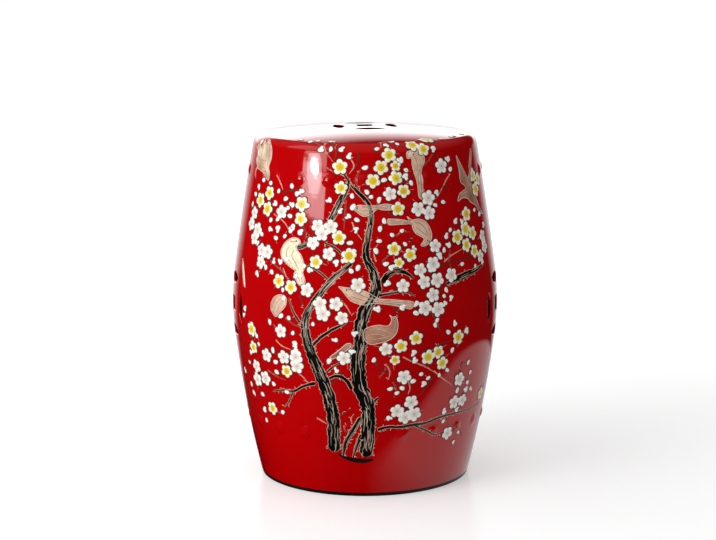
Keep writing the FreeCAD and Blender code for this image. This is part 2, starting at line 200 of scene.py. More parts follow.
def wall_normal(azimuth, length, profile=OUTER):
    """The outward normal at an azimuth and a length along the profile."""
    normal_r, normal_z = profile.at(length)[2:]
    return round_axis(normal_r, azimuth, normal_z)


DOME_SHARE = 0.98


def normal_at(point, profile=OUTER):
    """The outward normal at a point of the surface."""
    dome_r, dome_z = profile.at(profile.dome.before)[:2]
    if point.z > dome_z - SAME or math.hypot(point.x, point.y) < dome_r * DOME_SHARE:
        return (point - Vector((0, 0, profile.dome.centre_z))).normalized()
    return wall_normal(math.atan2(point.x, -point.y), profile.at_height(point.z), profile)


def beside(spot, x, y):
    """The wall place at a distance to the right of a place and a distance up from it, along the wall."""
    azimuth, length = spot
    return azimuth + x / OUTER.at(length)[0], length + y


# Meshes with a finish and a true normal for each stretch of surface

def put_in_scene(name, data):
    """A new object in the scene."""
    thing = bpy.data.objects.new(name, data)
    bpy.context.scene.collection.objects.link(thing)
    return thing


class Shell:
    """Points and faces of one surface. A face has a kind, and a point has a normal for each kind it meets."""

    def __init__(self):
        self.points = []
        self.faces = []
        self.kinds = []
        self.normals = {}

    def point(self, place, kind, normal):
        """Add a point with its normal for one kind of face; gives its number."""
        self.points.append(place)
        self.normals[len(self.points) - 1, kind] = normal
        return len(self.points) - 1

    def face(self, corners, kind):
        """Add a face turned so that its front looks the way its points' normals do."""
        places = [self.points[index] for index in corners]
        facing = (places[1] - places[0]).cross(places[-1] - places[0])
        if len(places) == 4:
            facing = (places[2] - places[0]).cross(places[3] - places[1])
        wanted = sum((self.normals[index, kind] for index in corners), Vector())
        if facing.dot(wanted) < 0:
            corners = corners[::-1]
        self.faces.append(tuple(corners))
        self.kinds.append(kind)

    def part(self, name, chosen, materials):
        """A mesh object made of the chosen faces, with its own points."""
        renumbered = {}
        faces = []
        for number in chosen:
            for index in self.faces[number]:
                renumbered.setdefault(index, len(renumbered))
            faces.append([renumbered[index] for index in self.faces[number]])
        mesh = bpy.data.meshes.new(name)
        mesh.from_pydata([self.points[index] for index in renumbered], [], faces)
        finishes = list(dict.fromkeys(materials.values()))
        for finish in finishes:
            mesh.materials.append(finish)
        normals = []
        for polygon, number in zip(mesh.polygons, chosen):
            kind = self.kinds[number]
            polygon.material_index = finishes.index(materials[kind])
            polygon.use_smooth = True
            normals += [self.normals[index, kind] for index in self.faces[number]]
        mesh.normals_split_custom_set(normals)
        return put_in_scene(name, mesh)

    def bridge(self, loops, kind):
        """Faces between neighbouring closed loops of points."""
        for before, after in zip(loops, loops[1:]):
            for here, there in zip(closed_edges(before), closed_edges(after)):
                self.face((here[0], here[1], there[1], there[0]), kind)


def crosses(first, second, x, y):
    """Whether a ray from (x, y) along +X crosses the edge between two points."""
    if (first[1] > y) == (second[1] > y):
        return False
    return x < first[0] + (y - first[1]) * (second[0] - first[0]) / (second[1] - first[1])


def is_inside(edges, x, y):
    """Whether (x, y) lies inside a closed border."""
    return sum(crosses(first, second, x, y) for first, second in edges) % 2 == 1


ALL_TRIANGLES = 0
MERGED = 1e-5


def triangles_inside(flat, edges, border, holes=()):
    """Triangles over flat points that keep the given edges, inside a border and outside its holes."""
    scaled = [Vector((x, y)) / MM for x, y in flat]
    _, _, triangles, sources, _, _ = delaunay_2d_cdt(scaled, edges, [], ALL_TRIANGLES, MERGED)
    origins = [source[0] for source in sources]
    kept = []
    for corners in triangles:
        triangle = [origins[index] for index in corners]
        x = sum(flat[place][0] for place in triangle) / 3
        y = sum(flat[place][1] for place in triangle) / 3
        if is_inside(border, x, y) and not any(is_inside(hole, x, y) for hole in holes):
            kept.append(triangle)
    return kept


def closed_edges(loop):
    """The pairs of neighbours round a closed loop."""
    return list(zip(loop, loop[1:] + loop[:1]))


def spread(start, end, step):
    """Evenly spaced values from start to end, both included."""
    count = max(1, round(abs(end - start) / step))
    return [start + (end - start) * number / count for number in range(count + 1)]


def joined(*stretches):
    """Stretches of values end to end, without the values that they share."""
    values = []
    for stretch in stretches:
        values += [value for value in stretch if not values or abs(value - values[-1]) > SAME]
    return values


# The pierced coins

RIM_STEPS = 22
CORNER_STEPS = 7
SQUARE_CORNER_STEPS = 5
SQUARE_SIDE_STEPS = 10


def arc_points(centre_u, centre_v, radius, start, end, steps):
    """Points (u, v, normal u, normal v) of an arc that bulges away from its centre."""
    found = []
    for number in range(steps + 1):
        turn = start + (end - start) * number / steps
        found.append((centre_u + radius * math.cos(turn), centre_v + radius * math.sin(turn),
                      math.cos(turn), math.sin(turn)))
    return found


def slot_outline():
    """The upper lens slot of a coin, anticlockwise."""
    half = COIN_SLOT / 2
    tip_v = math.sqrt(COIN_RADIUS ** 2 - half ** 2)
    sag = tip_v - COIN_RADIUS + COIN_SLOT_WIDTH
    bow = (half ** 2 + sag ** 2) / (2 * sag)
    bow_v = tip_v - sag + bow
    rim_reach = COIN_RADIUS - COIN_ROUND
    bow_reach = bow - COIN_ROUND
    round_v = (rim_reach ** 2 - bow_reach ** 2 + bow_v ** 2) / (2 * bow_v)
    round_u = math.sqrt(rim_reach ** 2 - round_v ** 2)
    rim_turn = math.atan2(round_v, round_u)
    bow_turn = math.atan2(round_v - bow_v, round_u)
    far_rim_turn = math.pi - rim_turn
    points = arc_points(0, 0, COIN_RADIUS, rim_turn, far_rim_turn, RIM_STEPS)
    points += arc_points(-round_u, round_v, COIN_ROUND, far_rim_turn, math.pi - bow_turn, CORNER_STEPS)[1:]
    points += arc_points(0, bow_v, bow, -math.pi - bow_turn, bow_turn, RIM_STEPS)[1:]
    points += arc_points(round_u, round_v, COIN_ROUND, bow_turn, rim_turn, CORNER_STEPS)[1:-1]
    return points


def square_outline():
    """The square hole of a coin, anticlockwise."""
    flat = COIN_SQUARE / 2 - COIN_ROUND
    points = []
    for quarter in range(4):
        turn = quarter * QUARTER
        centre_u, centre_v = turned(flat, flat, turn)
        points += arc_points(centre_u, centre_v, COIN_ROUND, turn, turn + QUARTER, SQUARE_CORNER_STEPS)
        for step in range(1, SQUARE_SIDE_STEPS):
            place = turned(flat * (1 - 2 * step / SQUARE_SIDE_STEPS), COIN_SQUARE / 2, turn)
            points.append(place + turned(0, 1, turn))
    return points


def turned(u, v, angle):
    """A flat place or direction turned anticlockwise."""
    return u * math.cos(angle) - v * math.sin(angle), u * math.sin(angle) + v * math.cos(angle)


def coin_outlines():
    """All five piercings of a coin."""
    outlines = [square_outline()]
    for quarter in range(4):
        angle = quarter * QUARTER
        outlines.append([turned(u, v, angle) + turned(nu, nv, angle) for u, v, nu, nv in slot_outline()])
    return outlines


def with_crossings(outline, level):
    """An outline with extra points where it crosses a level of v."""
    found = []
    for here, after in closed_edges(outline):
        found.append(here)
        if (here[1] - level) * (after[1] - level) < 0:
            share = (level - here[1]) / (after[1] - here[1])
            found.append(tuple(a + (b - a) * share for a, b in zip(here, after)))
            found[-1] = (found[-1][0], level) + found[-1][2:]
    return found


class Coin:
    """What the coins share. A coin's frame has u and v on the surface, and depth into the clay."""

    def inward(self, normal_u, normal_v):
        """The direction from a piercing's wall into its opening."""
        return -(self.along * normal_u + self.up * normal_v)


class SideCoin(Coin):
    """The frame of a side coin: u runs round the stool, v up, and depth inwards."""

    def __init__(self, side):
        azimuth = side * SIDE_COIN_AZIMUTH
        self.outward = Vector((math.sin(azimuth), -math.cos(azimuth), 0))
        self.along = Vector((math.cos(azimuth), math.sin(azimuth), 0))
        self.up = Vector((0, 0, 1))
        self.level = BELLY_HEIGHT - SIDE_COIN_HEIGHT
        self.lip = "lip"

    def place(self, u, v, depth, profile):
        """The point at (u, v) and a depth under one of the wall's two faces."""
        z = SIDE_COIN_HEIGHT + v
        r = profile.at(profile.at_height(z))[0]
        reach = math.sqrt(r * r - u * u) - depth
        return self.along * u + self.outward * reach + self.up * z

    def flat(self, point):
        """The (u, v) of a point."""
        return point.dot(self.along), point.z - SIDE_COIN_HEIGHT


class SeatCoin(Coin):
    """The frame of the seat's coin: u and v lie level, and depth runs down."""

    def __init__(self):
        self.outward = Vector((0, 0, 1))
        self.along = Vector((math.cos(SEAT_COIN_TURN), math.sin(SEAT_COIN_TURN), 0))
        self.up = Vector((-math.sin(SEAT_COIN_TURN), math.cos(SEAT_COIN_TURN), 0))
        self.level = None
        # The seat coin's lip gets the near-black painted shade of the piercings' walls
        self.lip = "dark_lip"

    def place(self, u, v, depth, profile):
        """The point at (u, v) and a depth under one of the seat's two faces."""
        dome = profile.dome
        z = dome.centre_z + math.sqrt(dome.radius ** 2 - u * u - v * v) - depth
        return self.along * u + self.up * v + self.outward * z

    def flat(self, point):
        """The (u, v) of a point."""
        return point.dot(self.along), point.dot(self.up)


LIP = 1.9 * MM
LIP_STEPS = 6
WALL_STEPS = 3


def lip_loops(shell, coin, outline):
    """The rounded lip of a piercing, as loops from the outer surface to its wall."""
    loops = []
    for step in range(LIP_STEPS + 1):
        angle = QUARTER * step / LIP_STEPS
        spare = LIP * (1 - math.sin(angle))
        depth = LIP * (1 - math.cos(angle))
        loop = []
        for u, v, nu, nv in outline:
            wide_v = v + nv * spare
            if coin.level is not None and abs(v - coin.level) < HAIR:
                wide_v = v
            place = coin.place(u + nu * spare, wide_v, depth, OUTER)
            surface = normal_at(coin.place(u + nu * spare, wide_v, 0.0, OUTER))
            normal = (surface * math.cos(angle) + coin.inward(nu, nv) * math.sin(angle)).normalized()
            index = shell.point(place, coin.lip, normal)
            if step == 0:
                shell.normals[index, "outer"] = surface
            loop.append(index)
        loops.append(loop)
    return loops


def wall_loops(shell, coin, outline, edge):
    """The wall of a piercing, as loops from the edge of its lip to the inner surface."""
    loops = [edge]
    for step in range(1, WALL_STEPS + 1):
        loop = []
        for index, (u, v, nu, nv) in zip(edge, outline):
            end = coin.place(u, v, 0.0, INNER)
            place = shell.points[index].lerp(end, step / WALL_STEPS)
            loop.append(shell.point(place, "hole", coin.inward(nu, nv)))
            if step == WALL_STEPS:
                shell.normals[loop[-1], "inner"] = -normal_at(end, INNER)
        loops.append(loop)
    for index, (u, v, nu, nv) in zip(edge, outline):
        shell.normals[index, "hole"] = coin.inward(nu, nv)
    return loops


def pierce(shell, coin):
    """Add the lips and the walls of a coin's piercings; gives the loops on both surfaces."""
    outer_loops = []
    inner_loops = []
    for outline in coin_outlines():
        if coin.level is not None:
            outline = with_crossings(outline, coin.level)
        lip = lip_loops(shell, coin, outline)
        shell.bridge(lip, coin.lip)
        wall = wall_loops(shell, coin, outline, lip[-1])
        shell.bridge(wall, "hole")
        outer_loops.append(lip[0])
        inner_loops.append(wall[-1])
    return outer_loops, inner_loops


def near_holes(holes, x, y, clear):
    """Whether a flat point lies in a hole or nearer to its edge than the given distance."""
    for edges in holes:
        if is_inside(edges, x, y) or any(math.hypot(x - px, y - py) < clear for (px, py), _ in edges):
            return True
    return False


def fill_patch(shell, coin, kind, border, inside, loops):
    """Cover the surface between a closed border and the loops of a coin's piercings."""
    holes = [closed_edges([coin.flat(shell.points[index]) for index in loop]) for loop in loops]
    free = [index for index in inside if not near_holes(holes, *coin.flat(shell.points[index]), PATCH_CLEAR)]
    numbers = list(dict.fromkeys(border + free + [index for loop in loops for index in loop]))
    order = {index: place for place, index in enumerate(numbers)}
    edges = [edge for loop in [border] + loops for edge in closed_edges(loop)]
    flat = [coin.flat(shell.points[index]) for index in numbers]
    if coin.level is not None:
        level = sorted((flat[place][0], index) for place, index in enumerate(numbers)
                       if abs(flat[place][1] - coin.level) < SAME)
        for (u0, first), (u1, second) in zip(level, level[1:]):
            if not any(is_inside(hole, (u0 + u1) / 2, coin.level + 10 * SAME) for hole in holes):
                edges.append((first, second))
    outline = [(flat[order[a]], flat[order[b]]) for a, b in closed_edges(border)]
    for triangle in triangles_inside(flat, [(order[a], order[b]) for a, b in edges], outline, holes):
        shell.face(tuple(numbers[place] for place in triangle), kind)


# The clay body

COLUMNS = 288
PATCH_LOW = 178.5 * MM
PATCH_HIGH = 282.5 * MM
PATCH_COLUMNS = (49, 77)
PATCH_CLEAR = 2.2 * MM
DISC = 52.0 * MM
DISC_STEP = 4 * MM
WIDE_STEP = 8 * MM
PATCH_STEP = 5 * MM
SKIRT_STEP = 4 * MM
ROUND_STEP = 1.9 * MM


def rows_of(profile):
    """The lengths at which the surface has rows of points, from the foot to the edge of the seat's coin."""
    rim = profile.rim
    flank_end = rim.centre_z + rim.radius * math.sin(rim.start)
    stretches = ((FOOT_HEIGHT, PATCH_LOW, WIDE_STEP), (PATCH_LOW, BELLY_HEIGHT, PATCH_STEP),
                 (BELLY_HEIGHT, PATCH_HIGH, PATCH_STEP), (PATCH_HIGH, SEAT_SEAM, WIDE_STEP),
                 (SEAT_SEAM, flank_end, SKIRT_STEP))
    heights = joined(*[spread(*stretch) for stretch in stretches])
    return joined([profile.at_height(height) for height in heights],
                  spread(rim.before, profile.dome.before, ROUND_STEP),
                  spread(profile.dome.before, profile.at_radius(DISC), WIDE_STEP))


def clay_surface(shell, profile, kind, coin_loops):
    """One face of the clay, outer or inner, with its patches round the coins."""
    sign = 1 if kind == "outer" else -1

    def surface_point(azimuth, length):
        return shell.point(on_wall(azimuth, length, 0.0, profile), kind,
                           wall_normal(azimuth, length, profile) * sign)

    lengths = rows_of(profile)
    grid = [[surface_point(TURN * column / COLUMNS, length) for column in range(COLUMNS)]
            for length in lengths]
    heights = [profile.at(length)[1] for length in lengths]
    low = min(range(len(heights)), key=lambda number: abs(heights[number] - PATCH_LOW))
    high = min(range(len(heights)), key=lambda number: abs(heights[number] - PATCH_HIGH))
    patches = []
    for side in (1, -1):
        first, last = sorted(side * column for column in PATCH_COLUMNS)
        patches.append(list(range(first, last + 1)))
    patched = {column % COLUMNS for columns in patches for column in columns[:-1]}
    for number in range(len(grid) - 1):
        for column in range(COLUMNS):
            if low <= number < high and column in patched:
                continue
            after = (column + 1) % COLUMNS
            shell.face((grid[number][column], grid[number][after],
                        grid[number + 1][after], grid[number + 1][column]), kind)
    for (coin, loops), columns in zip(coin_loops[:2], patches):
        left = columns[0] % COLUMNS
        right = columns[-1] % COLUMNS
        between = range(low + 1, high)
        border = [grid[low][column % COLUMNS] for column in columns]
        border += [grid[number][right] for number in between]
        border += [grid[high][column % COLUMNS] for column in reversed(columns)]
        border += [grid[number][left] for number in reversed(between)]
        inside = [grid[number][column % COLUMNS] for number in between for column in columns[1:-1]]
        fill_patch(shell, coin, kind, border, inside, loops)
    coin, loops = coin_loops[2]
    inside = []
    for ring, reach in enumerate(spread(DISC - DISC_STEP, DISC_STEP, DISC_STEP)):
        steps = round(TURN * reach / DISC_STEP)
        for step in range(steps):
            azimuth = TURN * (step + 0.5 * (ring % 2)) / steps
            inside.append(surface_point(azimuth, profile.at_radius(reach)))
    fill_patch(shell, coin, kind, grid[-1], inside, loops)


def cap(shell, chosen, level, up):
    """Close the chosen faces where they end on a level; adds the faces and gives their numbers."""
    count = {}
    for number in chosen:
        for edge in closed_edges(list(shell.faces[number])):
            if all(abs(shell.points[index].z - level) < SAME for index in edge):
                key = (min(edge), max(edge))
                count[key] = count.get(key, 0) + 1
    edges = [edge for edge, uses in count.items() if uses == 1]
    numbers = list(dict.fromkeys(index for edge in edges for index in edge))
    order = {index: place for place, index in enumerate(numbers)}
    flat = [tuple(shell.points[index].xy) for index in numbers]
    for index in numbers:
        shell.normals[index, "cap"] = Vector((0, 0, up))
    sides = [(flat[order[a]], flat[order[b]]) for a, b in edges]
    start = len(shell.faces)
    for triangle in triangles_inside(flat, [(order[a], order[b]) for a, b in edges], sides):
        shell.face(tuple(numbers[place] for place in triangle), "cap")
    return list(range(start, len(shell.faces)))


def make_clay(finishes):
    """The seat and the two wall halves, glazed outside and bare inside."""
    shell = Shell()
    coins = [SideCoin(1), SideCoin(-1), SeatCoin()]
    loops = [pierce(shell, coin) for coin in coins]
    clay_surface(shell, OUTER, "outer", [(coin, found[0]) for coin, found in zip(coins, loops)])
    clay_surface(shell, INNER, "inner", [(coin, found[1]) for coin, found in zip(coins, loops)])
    bands = (("seat_top", SEAT_SEAM, math.inf), ("upper_wall", BELLY_HEIGHT, SEAT_SEAM),
             ("lower_wall", FOOT_HEIGHT, BELLY_HEIGHT))
    middles = [sum(shell.points[index].z for index in face) / len(face) for face in shell.faces]
    for name, low, high in bands:
        chosen = [number for number, middle in enumerate(middles) if low < middle < high]
        faces = chosen + cap(shell, chosen, low, -1)
        if high < math.inf:
            faces += cap(shell, chosen, high, 1)
        piece = shell.part("glazed_" + name, faces, finishes)
        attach(piece, "root")
        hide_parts(name)


EASE_STEPS = 6
FOOT_MIDDLE = 3.0 * MM


def make_foot(glaze, bare):
    """The black standing ring: eased edges, and a bare face that it stands on."""
    shell = Shell()
    outer_r = OUTER.at(0.0)[0]
    inner_r = outer_r - FOOT_WIDTH
    toe_r = FOOT_RADIUS - FOOT_EASE
    heel_r = inner_r + FOOT_EASE
    toe = arc_points(toe_r, FOOT_EASE, FOOT_EASE, 0, -QUARTER, EASE_STEPS)
    heel = arc_points(heel_r, FOOT_EASE, FOOT_EASE, -QUARTER, -math.pi, EASE_STEPS)
    stretches = (
        ("glaze", [(outer_r, FOOT_HEIGHT, 1, 0), ((FOOT_RADIUS + outer_r) / 2, FOOT_MIDDLE, 1, 0)] + toe),
        ("bare", [(toe_r, 0.0, 0, -1), (heel_r, 0.0, 0, -1)]),
        ("glaze", heel + [(inner_r, FOOT_HEIGHT, -1, 0)]),
        ("bare", [(inner_r, FOOT_HEIGHT, 0, 1), (outer_r, FOOT_HEIGHT, 0, 1)]))
    last = []
    first = None
    for kind, stations in stretches:
        loops = []
        for number, (r, z, normal_r, normal_z) in enumerate(stations):
            loop = last if number == 0 else []
            if kind == "bare" and r == outer_r:
                loop = first
            shared = bool(loop)
            for column in range(COLUMNS):
                azimuth = TURN * column / COLUMNS
                normal = round_axis(normal_r, azimuth, normal_z)
                if shared:
                    shell.normals[loop[column], kind] = normal
                else:
                    loop.append(shell.point(round_axis(r, azimuth, z), kind, normal))
            first = first or loop
            loops.append(loop)
        shell.bridge(loops, kind)
        last = loops[-1]
    piece = shell.part("glazed_foot_ring", range(len(shell.faces)), {"glaze": glaze, "bare": bare})
    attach(piece, "root")
    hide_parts("foot_ring")


# The studs

# A stud's half outline in millimetres: distance from its middle and height above the wall
STUD_OUTLINE = [(0, 1.75), (1.6, 1.69), (3.2, 1.48), (4.6, 1.14), (5.8, 0.74), (6.8, 0.40), (7.8, 0.17),
                (8.8, 0.05), (9.8, -0.05)]
STUD_STEPS = 28


def stud_rise(azimuth, length):
    """How far the studs lift the surface at a place on the wall."""
    for height, start in (UPPER_ROW, LOWER_ROW):
        middle = OUTER.at_height(height)
        if abs(length - middle) > STUD_OUTLINE[-1][0] * MM:
            continue
        pitch = TURN / STUD_COUNT
        off = (azimuth - start + pitch / 2) % pitch - pitch / 2
        reach = math.hypot(off * OUTER.at(middle)[0], length - middle) / MM
        for (near, high), (far, low) in zip(STUD_OUTLINE, STUD_OUTLINE[1:]):
            if near <= reach < far:
                return max(0.0, high + (low - high) * (reach - near) / (far - near)) * MM
    return 0.0


def make_studs(name, node, row, glaze):
    """A row of low studs softened by the glaze that runs over them."""
    height, start = row
    length = OUTER.at_height(height)
    points = []
    faces = []
    for number in range(STUD_COUNT):
        middle = (start + TURN * number / STUD_COUNT, length)
        top = len(points)
        points.append(on_wall(*middle, STUD_OUTLINE[0][1] * MM))
        for reach, rise in STUD_OUTLINE[1:]:
            for step in range(STUD_STEPS):
                x, y = turned(reach * MM, 0, TURN * step / STUD_STEPS)
                points.append(on_wall(*beside(middle, x, y), rise * MM))
        rings = [range(first, first + STUD_STEPS) for first in range(top + 1, len(points), STUD_STEPS)]
        for step in range(STUD_STEPS):
            after = (step + 1) % STUD_STEPS
            faces.append((top, rings[0][step], rings[0][after]))
            for near, far in zip(rings, rings[1:]):
                faces.append((near[step], far[step], far[after], near[after]))
        faces.append(tuple(reversed(rings[-1])))
    mesh = bpy.data.meshes.new(name)
    mesh.from_pydata(points, [], faces)
    mesh.materials.append(glaze)
    mesh.polygons.foreach_set("use_smooth", [len(face) < 5 for face in faces])
    piece = put_in_scene(name, mesh)
    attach(piece, "root")
    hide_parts(node)


# Colours and finishes

RED_THIN = (0.50, 0.0006, 0.0018, 1)
RED_THICK = (0.43, 0.0004, 0.0014, 1)
RED_STREAK = (0.36, 0.0005, 0.0016, 1)
RED_PIT = (0.10, 0.0006, 0.0010, 1)
# Painted shade: near-black reds that stand for the shade on the walls of the piercings and on the seat coin's
# lip
HOLE_SHADE_DARK = (0.022, 0.0008, 0.0010, 1)
HOLE_SHADE_RED = (0.060, 0.0010, 0.0014, 1)
BLACK_THICK = (0.005, 0.004, 0.005, 1)
BLACK_THIN = (0.018, 0.011, 0.010, 1)
CLAY_DARK = (0.30, 0.22, 0.15, 1)
CLAY_PALE = (0.42, 0.33, 0.24, 1)
CLAY_SPECK = (0.12, 0.07, 0.04, 1)


def rgb(red, green, blue):
    """A colour given as screen values from 0 to 255, as the shader wants it."""
    def linear(value):
        share = value / 255
        return share / 12.92 if share <= 0.04045 else ((share + 0.055) / 1.055) ** 2.4
    return (linear(red), linear(green), linear(blue), 1.0)


def blend(first, second, share):
    """A colour between two others."""
    return tuple(a + (b - a) * share for a, b in zip(first, second))


class Nodes:
    """A tree of nodes. Each call adds one node, with its inputs linked or set."""

    def __init__(self, tree):
        self.tree = tree

    def feed(self, socket, value):
        """Link a socket to the output of another node, or set it to a plain value."""
        if isinstance(value, bpy.types.NodeSocket):
            self.tree.links.new(value, socket)
        else:
            socket.default_value = value

    def add(self, kind, inputs=None, **settings):
        """A new node of a kind."""
        node = self.tree.nodes.new(kind)
        for name, value in settings.items():
            setattr(node, name, value)
        for name, value in (inputs or {}).items():
            self.feed(node.inputs[name], value)
        return node

    def range(self, value, low, high, new_low, new_high):
        """A value carried from one range to another, and held at its ends."""
        inputs = {"Value": value, "From Min": low, "From Max": high, "To Min": new_low, "To Max": new_high}
        return self.add("ShaderNodeMapRange", inputs).outputs["Result"]

    def math(self, operation, *values):
        """What an arithmetic operation makes of some numbers."""
        return self.add("ShaderNodeMath", dict(enumerate(values)), operation=operation).outputs[0]

    def sum(self, *values):
        total = values[0]
        for value in values[1:]:
            total = self.math("ADD", total, value)
        return total

    def times(self, value, factor):
        return self.math("MULTIPLY", value, factor)

    def larger(self, first, second):
        return self.math("MAXIMUM", first, second)

    def choose(self, share, first, second):
        """A number between two others."""
        return self.add("ShaderNodeMix", {0: share, 2: first, 3: second}, data_type="FLOAT").outputs[0]


class Finish(Nodes):
    """A node material."""

    def __init__(self, name):
        self.material = bpy.data.materials.new(name)
        self.material.use_nodes = True
        super().__init__(self.material.node_tree)
        self.shader = self.tree.nodes["Principled BSDF"]
        self.place = self.add("ShaderNodeTexCoord").outputs["Object"]

    def noise(self, scale, detail, stretch=(1, 1, 1)):
        """Cloudy noise over the surface, from 0 to 1."""
        mapped = self.add("ShaderNodeMapping", {"Vector": self.place, "Scale": stretch}).outputs["Vector"]
        inputs = {"Vector": mapped, "Scale": scale, "Detail": detail, "Roughness": 0.5}
        return self.add("ShaderNodeTexNoise", inputs).outputs["Fac"]

    def ramp(self, value, low, low_colour, high, high_colour):
        """One colour up to a low value, another from a high value on, and a blend between the two."""
        node = self.add("ShaderNodeValToRGB", {"Fac": value})
        for element, place, colour in zip(node.color_ramp.elements, (low, high), (low_colour, high_colour)):
            element.position = place
            element.color = colour
        return node.outputs["Color"]

    def mix(self, share, first, second, blend_type="MIX"):
        """A colour made of two others."""
        node = self.add("ShaderNodeMix", data_type="RGBA", blend_type=blend_type)
        self.feed([item for item in node.inputs if item.name == "Factor" and item.enabled][0], share)
        for name, value in (("A", first), ("B", second)):
            self.feed([item for item in node.inputs if item.name == name and item.type == "RGBA"][0], value)
        return [item for item in node.outputs if item.type == "RGBA"][0]

    def bump(self, height, distance):
        """Make the surface uneven by a height."""
        inputs = {"Height": height, "Distance": distance, "Strength": 1.0}
        self.feed(self.shader.inputs["Normal"], self.add("ShaderNodeBump", inputs).outputs["Normal"])

    def set(self, **inputs):
        """Give the shader its inputs."""
        for name, value in inputs.items():
            self.feed(self.shader.inputs[name.replace("_", " ")], value)


def red_glaze():
    """Deep red glaze: pooled darker here and there, faint ripples from the turning, a few pinholes."""
    finish = Finish("red_glaze")
    cloud = finish.noise(9.0, 3.0)
    streaks = finish.noise(26.0, 3.0, (1, 1, 0.25))
    base = finish.ramp(cloud, 0.30, RED_THICK, 0.70, RED_THIN)
    deep = finish.mix(finish.range(streaks, 0.45, 0.8, 0.0, 0.2), base, RED_STREAK)
    pits = finish.add("ShaderNodeTexVoronoi", {"Vector": finish.place, "Scale": 75.0}).outputs["Distance"]
    rare = finish.noise(20.0, 0.0)
    pit = finish.times(finish.range(pits, 0.012, 0.045, 1.0, 0.0), finish.range(rare, 0.60, 0.66, 0.0, 1.0))
    finish.set(Base_Color=finish.mix(pit, deep, RED_PIT),
               Roughness=finish.range(finish.noise(45.0, 4.0), 0.3, 0.7, 0.035, 0.065),
               Coat_Weight=0.35, Coat_Roughness=0.03, IOR=1.5)
    ripples = finish.times(finish.noise(6.0, 2.0, (1, 1, 34)), 0.5)
    skin = finish.times(finish.noise(110.0, 2.0), 0.35)
    sunk = finish.times(pit, -2.5)
    finish.bump(finish.sum(ripples, skin, sunk), 0.045 * MM)
    return finish.material


def dark_glaze(name, scale, detail, colours, rough_scale, rough, bump_scale, refraction):
    """A nearly black glaze, paler where it is thin, and a little uneven. On the walls of the piercings the
    same finish is painted shade.
    """
    finish = Finish(name)
    cloud = finish.noise(scale, detail)
    finish.set(Base_Color=finish.ramp(cloud, 0.35, colours[0], 0.75, colours[1]),
               Roughness=finish.range(finish.noise(rough_scale, 3.0), 0.3, 0.7, *rough), IOR=refraction)
    finish.bump(finish.noise(bump_scale, 3.0), 0.06 * MM)
    return finish.material


def painted_hole_shade():
    """Painted shade on the walls of the piercings and on the seat coin's lip: the red glaze drawn almost
    black, because the openings lie in shade.
    """
    return dark_glaze("painted_hole_shade", 60.0, 3.0, (HOLE_SHADE_DARK, HOLE_SHADE_RED), 120.0, (0.12, 0.22), 160.0, 1.5)


def black_glaze():
    """Glossy black glaze of the standing ring, brownish where it is thin."""
    return dark_glaze("black_glaze", 30.0, 4.0, (BLACK_THICK, BLACK_THIN), 90.0, (0.16, 0.28), 140.0, 1.36)


def bare_clay():
    """Unglazed stoneware inside and underfoot: buff, grainy, with darker specks and turning rings."""
    finish = Finish("bare_clay")
    cloud = finish.noise(22.0, 5.0)
    base = finish.ramp(cloud, 0.30, CLAY_DARK, 0.70, CLAY_PALE)
    grains = finish.noise(620.0, 2.0)
    specks = finish.range(grains, 0.66, 0.72, 0.0, 0.8)
    rings = finish.noise(5.0, 2.0, (1, 1, 45))
    finish.set(Base_Color=finish.mix(specks, base, CLAY_SPECK),
               Roughness=finish.range(grains, 0.3, 0.7, 0.75, 0.95))
    finish.bump(finish.sum(finish.times(grains, 0.4), rings), 0.25 * MM)
    return finish.material


def enamel(name, rough, grain, depth, tint):
    """Raised enamel in the colours painted on the mesh, uneven in thickness, with fine brush grain."""
    finish = Finish(name)
    paint = finish.add("ShaderNodeVertexColor", layer_name="Paint").outputs["Color"]
    thick = finish.noise(170.0, 3.0)
    shade = finish.ramp(thick, 0.30, tint, 0.62, (1.0, 1.0, 1.0, 1))
    fine = finish.noise(grain, 3.0)
    finish.set(Base_Color=finish.mix(1.0, paint, shade, "MULTIPLY"),
               Roughness=finish.range(fine, 0.3, 0.7, rough, rough + 0.18),
               Coat_Weight=0.25, Coat_Roughness=0.12)
    finish.bump(finish.sum(fine, finish.times(thick, 1.5)), depth)
    return finish.material


# From the photograph's pixels to the stool

PICTURE_TOP = OUTER.dome.before + 3 * MM
PICTURE_SQUEEZE = 0.06
BACK_TOP = OUTER.rim.before - 4 * MM
RAY_START = 2.2
RAY_STEP = 2 * MM
RAY_STEPS = 400
RAY_HALVINGS = 16


